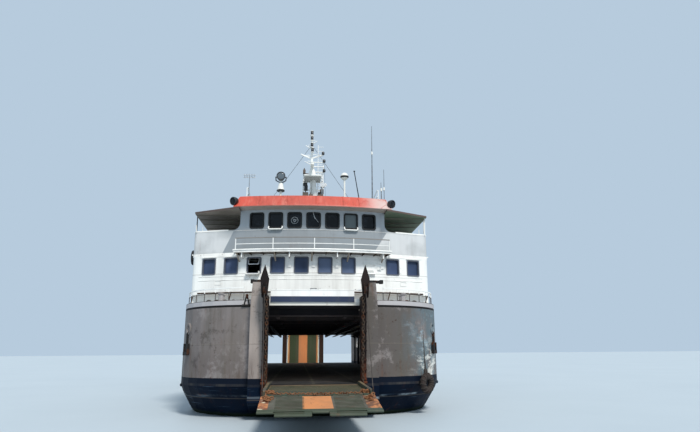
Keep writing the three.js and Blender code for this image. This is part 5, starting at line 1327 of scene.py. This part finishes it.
def door_gear(fit):
    """Frames, handles and port lights of the hinged doors."""
    saloon, upper, middle = PASSENGER_DECK + 1.125, BRIDGE_DECK + 1.045, BOW + 5.845
    doors = {
        "saloon_door_port": (math.pi, (3.0555, SALOON_AFT, saloon), 1.93, 1),
        "saloon_door_starboard": (math.pi, (-3.0555, SALOON_AFT, saloon), 1.93, -1),
        "wheelhouse_door_port": (QUARTER, (WHEELHOUSE_HALF, middle, upper), 1.83, 1),
        "wheelhouse_door_starboard": (-QUARTER, (-WHEELHOUSE_HALF, middle, upper), 1.83, -1),
        "crew_door": (math.pi, (-2.155, -2.5, upper), 1.83, -1),
    }
    wide = 0.89
    for body, (turn, spot, high, free) in doors.items():
        leaf, fittings, light, trim = (Shape() for _ in range(4))
        place, x = turned(turn, spot), free * (wide / 2 - 0.09)
        port = place @ at(0, 0, 0.45)
        leaf.frame(place, wide - 0.2, high - 0.2, 0.03, -0.012, 0.0, 0.05, 0.0)
        leaf.frame(port, 0.34, 0.34, 0.045, -0.02, 0.0, 0.16, 0.0)
        leaf.make(body + "_panel", "door_brown", 0.004, body)
        knob = [(0.035, 0.0), (0.035, 0.02), (0.015, 0.03), (0.015, 0.06)]
        fittings.lathe(knob, place @ at(x, 0, -0.05) @ TIP_X, 14)
        fittings.bar((x, -0.06, -0.05), (x - free * 0.13, -0.06, -0.05), 0.012, place=place)
        fittings.plate(rounded(0.07, 0.22, 0.015), -0.006, 0.0, place @ at(x, 0, -0.09))
        fittings.make(body + "_handle", "bright_steel", 0, body)
        light.plate(rounded(0.35, 0.35, 0.16), -0.004, 0.0, port)
        light.make(body + "_light", "bridge_glass", 0, body)
        inner, side, outer = wide / 2 + 0.02, high / 2 + 0.02, high / 2 + 0.07
        trim.box(-inner, inner, -0.05, 0.0, side, outer, place)
        trim.box(-inner, inner, -0.05, 0.0, -outer, -side, place)
        trim.box(free * inner, free * (inner + 0.05), -0.05, 0.0, -outer, outer, place)
        trim.make(body + "_frame", "trim_white", 0.006)


def open_decks(fit):
    """Benches, lifebuoys, raft straps, stair rails, funnel louvres and lockers."""
    legs, wood, rings, bands = (Shape() for _ in range(4))
    rows = [(x, y, PASSENGER_DECK, 1.1, 0) for x in (-3.6, 0.0, 3.6) for y in (9.8, 11.9, 13.6)]
    rows += [(x, y, BRIDGE_DECK, 1.2, 0) for x in (-2.2, 2.2) for y in (9.0, 10.6, 13.0, 14.6)]
    rows += [(s * 5.0, y, BRIDGE_DECK, 1.2, s * QUARTER) for s in SIDES for y in (-9.5, -6.2)]
    leg = [(-0.2, 0), (-0.15, 0), (-0.15, 0.36), (0.18, 0.36), (0.22, 0), (0.27, 0), (0.33, 0.86), (0.28, 0.86)]
    for x, y, z, half, turn in rows:
        place = turned(turn, (x, y, z))
        for dx in (0.15 - half, 0.0, half - 0.15):
            legs.plate(leg + [(0.22, 0.41), (-0.2, 0.41)], dx - 0.02, dx + 0.02, place, "yz")
        for k in range(4):
            wood.box(-half, half, -0.2 + k * 0.105, -0.115 + k * 0.105, 0.41, 0.44, place)
        for k in range(3):
            back, up = 0.018 * k, 0.13 * k
            wood.box(-half, half, 0.215 + back, 0.24 + back, 0.52 + up, 0.61 + up, place)
    legs.make("bench_frames", "trim_white", 0.003)
    wood.make("bench_slats", "bench_wood", 0.006)

    spots = [(s * 5.99, y, BRIDGE_DECK + 0.62, QUARTER) for s in SIDES for y in (-11.2, -3.2, 4.6, 12.6)]
    for x, y, z, turn in spots + [(s * 2.6, STERN - 0.03, PASSENGER_DECK + 0.62, 0) for s in SIDES]:
        place = turned(turn, (x, y, z)) @ TIP_X
        rings.ring(place, 0.29, 0.065, 28, 10)
        for a in (k * QUARTER + math.pi / 4 for k in range(4)):
            bands.tube([polar(0.29, a + d) for d in (-0.18, -0.06, 0.06, 0.18)], 0.069, 10, False, place)
    rings.make("lifebuoys", "ring_orange")
    bands.make("lifebuoy_bands", "raft_white")

    @both
    def deck_side(side, name):
        rafts, rim, slats, pipes, rail, locker = (Shape() for _ in range(6))
        raft = lambda y: at(side * 4.9, y, BRIDGE_DECK + 0.52)
        for y in (5.35, 5.7, 6.3, 6.65):
            rafts.ring(raft(y) @ TIP_X, 0.335, 0.016, 28, 6)
        rafts.make("raft_straps_" + name, "rubber")
        rim.ring(raft(6.0) @ TIP_X, 0.33, 0.03, 28, 8)
        for y, turn in ((5.3, QUARTER), (6.7, -QUARTER)):
            rim.lathe([(0.335, 0.0), (0.25, 0.05), (0.05, 0.08)], raft(y) @ turned(turn, axis="X"), 24)
        rim.make("raft_rims_" + name, "raft_white")
        for face in SIDES:
            for z in (0.6 + k * 0.11 for k in range(9)):
                x, z = side * 4.3 + face * (0.642 - 0.017 * z), BRIDGE_DECK + z
                out = x + face * 0.05
                slats.plate([(x, z), (out, z - 0.05), (out, z - 0.035), (x, z + 0.02)], 0.9, 2.2)
            place = turned(face * QUARTER, (side * 4.3 + face * 0.633, 1.55, BRIDGE_DECK + 1.04))
            slats.frame(place, 1.36, 1.06, 0.05, -0.04, 0.0, 0.03, 0.0)
        slats.make("funnel_louvres_" + name, "funnel", 0.004)
        for y in (1.5, 2.1):
            pipes.ring(at(side * 4.3, y, CAR_DECK + 9.9) @ facing((0, 0.18, 1)), 0.13, 0.022, 20, 8)
        pipes.ring(at(side * 4.3, 1.68, CAR_DECK + 9.24), 0.72, 0.03, 32, 8)
        pipes.make("funnel_rims_" + name, "lamp_black")
        x = side * 0.47
        for high, foot in ((0.95, 0.3), (0.5, 0.02)):
            z = BRIDGE_DECK + high
            path = (16.9, z), (17.05, z - 0.02), (19.45, z - 2.28), (19.55, PASSENGER_DECK + foot)
            rail.tube([(x, y, z) for y, z in path], 0.024, 8)
        for y in (17.1, 18.3, 19.4):
            z = BRIDGE_DECK - (y - 17) * 0.95
            rail.bar((x, y, z - 0.1), (x, y, z + 0.93), 0.02)
        rail.make("stair_rail_" + name, "trim_white")
        for x, y, z in ((4.6, -0.4, BRIDGE_DECK), (5.2, 9.0, PASSENGER_DECK)):
            locker.plate(rounded(0.7, 0.62, 0.05), y - 0.5, y + 0.5, at(side * x, 0, z + 0.34))
            locker.plate(rounded(0.78, 0.07, 0.03), y - 0.54, y + 0.54, at(side * x, 0, z + 0.68))
        locker.make("deck_lockers_" + name, "ring_orange", 0.01)


# Studio.


def placed(name, data, matrix=Matrix()):
    item = bpy.data.objects.new(name, data)
    bpy.context.scene.collection.objects.link(item)
    item.matrix_world = matrix
    return item


def camera():
    data = bpy.data.cameras.new("quay_camera")
    data.sensor_width, data.lens, data.clip_end = SENSOR, FOCAL_PIXELS / PHOTO_WIDTH * SENSOR, 1000
    s, c = math.sin(CAMERA_TURN), math.cos(CAMERA_TURN)
    se, ce = math.sin(CAMERA_PITCH), math.cos(CAMERA_PITCH)
    right, up, ahead = Vector((c, -s, 0)), Vector((-s * se, -c * se, ce)), Vector((s * ce, c * ce, se))
    sr, cr = math.sin(CAMERA_ROLL), math.cos(CAMERA_ROLL)
    rolled = Matrix((right * cr - up * sr, right * sr + up * cr, -ahead)).transposed()
    bpy.context.scene.camera = placed("quay_camera", data, at(*CAMERA_PLACE) @ rolled.to_4x4())


def studio(stage):
    floor = bpy.data.meshes.new("floor")
    half = stage.floor / 2
    corners = (-half, -half), (half, -half), (half, half), (-half, half)
    floor.from_pydata([(x, y, 0) for x, y in corners], [], [(0, 1, 2, 3)])
    coat = Coat("pale_floor", "B9C3C9")
    coat.lay("AEB9C0", coat.noise(0.2, 3))
    floor.materials.append(coat.finish(coat.noise(1.5, 3) * 0.1 + 0.55))
    placed("floor", floor)
    scene = bpy.context.scene
    scene.view_settings.view_transform = "Standard"
    scene.world = bpy.data.worlds.new("studio")
    scene.world.use_nodes = True
    back = scene.world.node_tree.nodes["Background"]
    back.inputs["Color"].default_value = tint("B7CBDD")
    back.inputs["Strength"].default_value = stage.sky
    sun = bpy.data.lights.new("key", "SUN")
    sun.energy, sun.angle, sun.color = stage.sun, math.radians(12), (1.0, 0.96, 0.9)
    placed("key", sun, facing((0.25, -0.8, 1.0)))
    for name, y, share in (("stern_fill", 8.8, 1.0), ("deck_fill", -9.3, 0.35)):
        lamp = bpy.data.lights.new(name, "AREA")
        lamp.energy, lamp.size, lamp.color = stage.inside * share, 1.6, (1.0, 0.93, 0.85)
        fill = placed(name, lamp, at(0, y, 1.5) @ facing((0, -1, 0)))
        fill.visible_camera = fill.visible_glossy = False


# Operators, one for each group of pieces.


class FERRY_OT_paint(bpy.types.Operator):
    """Makes every finish and paints the packed parts"""

    bl_idname = "ferry.paint"
    bl_label = "Paint the ship"
    bl_options = {"REGISTER", "UNDO"}

    def execute(self, context):
        PAINTS.update(make_paints(context.scene.ferry_paint))
        for name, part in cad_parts.items():
            part.data.materials.clear()
            part.data.materials.append(PAINTS[PART_FINISH[name]])
        return {"FINISHED"}


class FERRY_OT_studio(bpy.types.Operator):
    """Floor, light and the camera at the photograph's viewing angle"""

    bl_idname = "ferry.studio"
    bl_label = "Studio"
    bl_options = {"REGISTER", "UNDO"}

    def execute(self, context):
        camera()
        studio(context.scene.ferry_stage)
        return {"FINISHED"}


def group_operator(name, label, text, *steps):
    """An operator that makes one group of pieces."""

    def execute(self, context):
        for step in steps:
            step(context.scene.ferry_fittings)
        return {"FINISHED"}

    fields = {"bl_idname": "ferry." + name, "bl_label": label, "__doc__": text}
    fields.update(bl_options={"REGISTER", "UNDO"}, execute=execute)
    return type("FERRY_OT_" + name, (bpy.types.Operator,), fields)


GROUPS = [
    FERRY_OT_studio,
    FERRY_OT_paint,
    group_operator("windows", "Windows", "Gaskets, rims, sills", saloon_windows, louvre_plates, bridge_windows),
    group_operator("house", "House trim", "Seams, lips and rims of the houses", house_trim, crew_roof),
    group_operator("wings", "Wings and roof", "Bridge wings, roof edge, lamps and rail", wing_gear, roof_gear),
    group_operator("mast", "Mast", "Mast, horns, stays, searchlight and aerials", mast_gear, roof_signals),
    group_operator("hull", "Hull and posts", "Chains, fenders and hull fittings", post_gear, hull_gear),
    group_operator("decks", "Decks", "Fore, vehicle and open decks", fore_deck, car_deck_gear, open_decks),
    group_operator("doors", "Doors", "Frames, handles and port lights", door_gear),
    group_operator("ramps", "Ramps", "Treads, chains, ribs, hoist wires and latches", ramp_gear, wires),
]


class FERRY_PT_dressing(bpy.types.Panel):
    """Lists the groups of pieces and their settings"""

    bl_label = "Ferry dressing"
    bl_idname = "FERRY_PT_dressing"
    bl_space_type = "VIEW_3D"
    bl_region_type = "UI"
    bl_category = "Ferry"

    def draw(self, context):
        for group in GROUPS:
            self.layout.operator(group.bl_idname)
        for settings in (getattr(context.scene, name) for name in SETTINGS):
            column = self.layout.column()
            for key in settings.bl_rna.properties.keys():
                if key not in ("rna_type", "name"):
                    column.prop(settings, key)


SETTINGS = {
    "ferry_paint": FerryPaintSettings,
    "ferry_fittings": FerryFittingSettings,
    "ferry_stage": FerryStageSettings,
}
CLASSES = [*SETTINGS.values(), *GROUPS, FERRY_PT_dressing]


def register():
    for item in CLASSES:
        bpy.utils.register_class(item)
    for name, settings in SETTINGS.items():
        setattr(bpy.types.Scene, name, bpy.props.PointerProperty(type=settings))


def unregister():
    for name in SETTINGS:
        delattr(bpy.types.Scene, name)
    for item in reversed(CLASSES):
        bpy.utils.unregister_class(item)


def main():
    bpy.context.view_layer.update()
    register()
    for group in GROUPS:
        section, action = group.bl_idname.split(".")
        getattr(getattr(bpy.ops, section), action)()


if __name__ == "__main__":
    main()
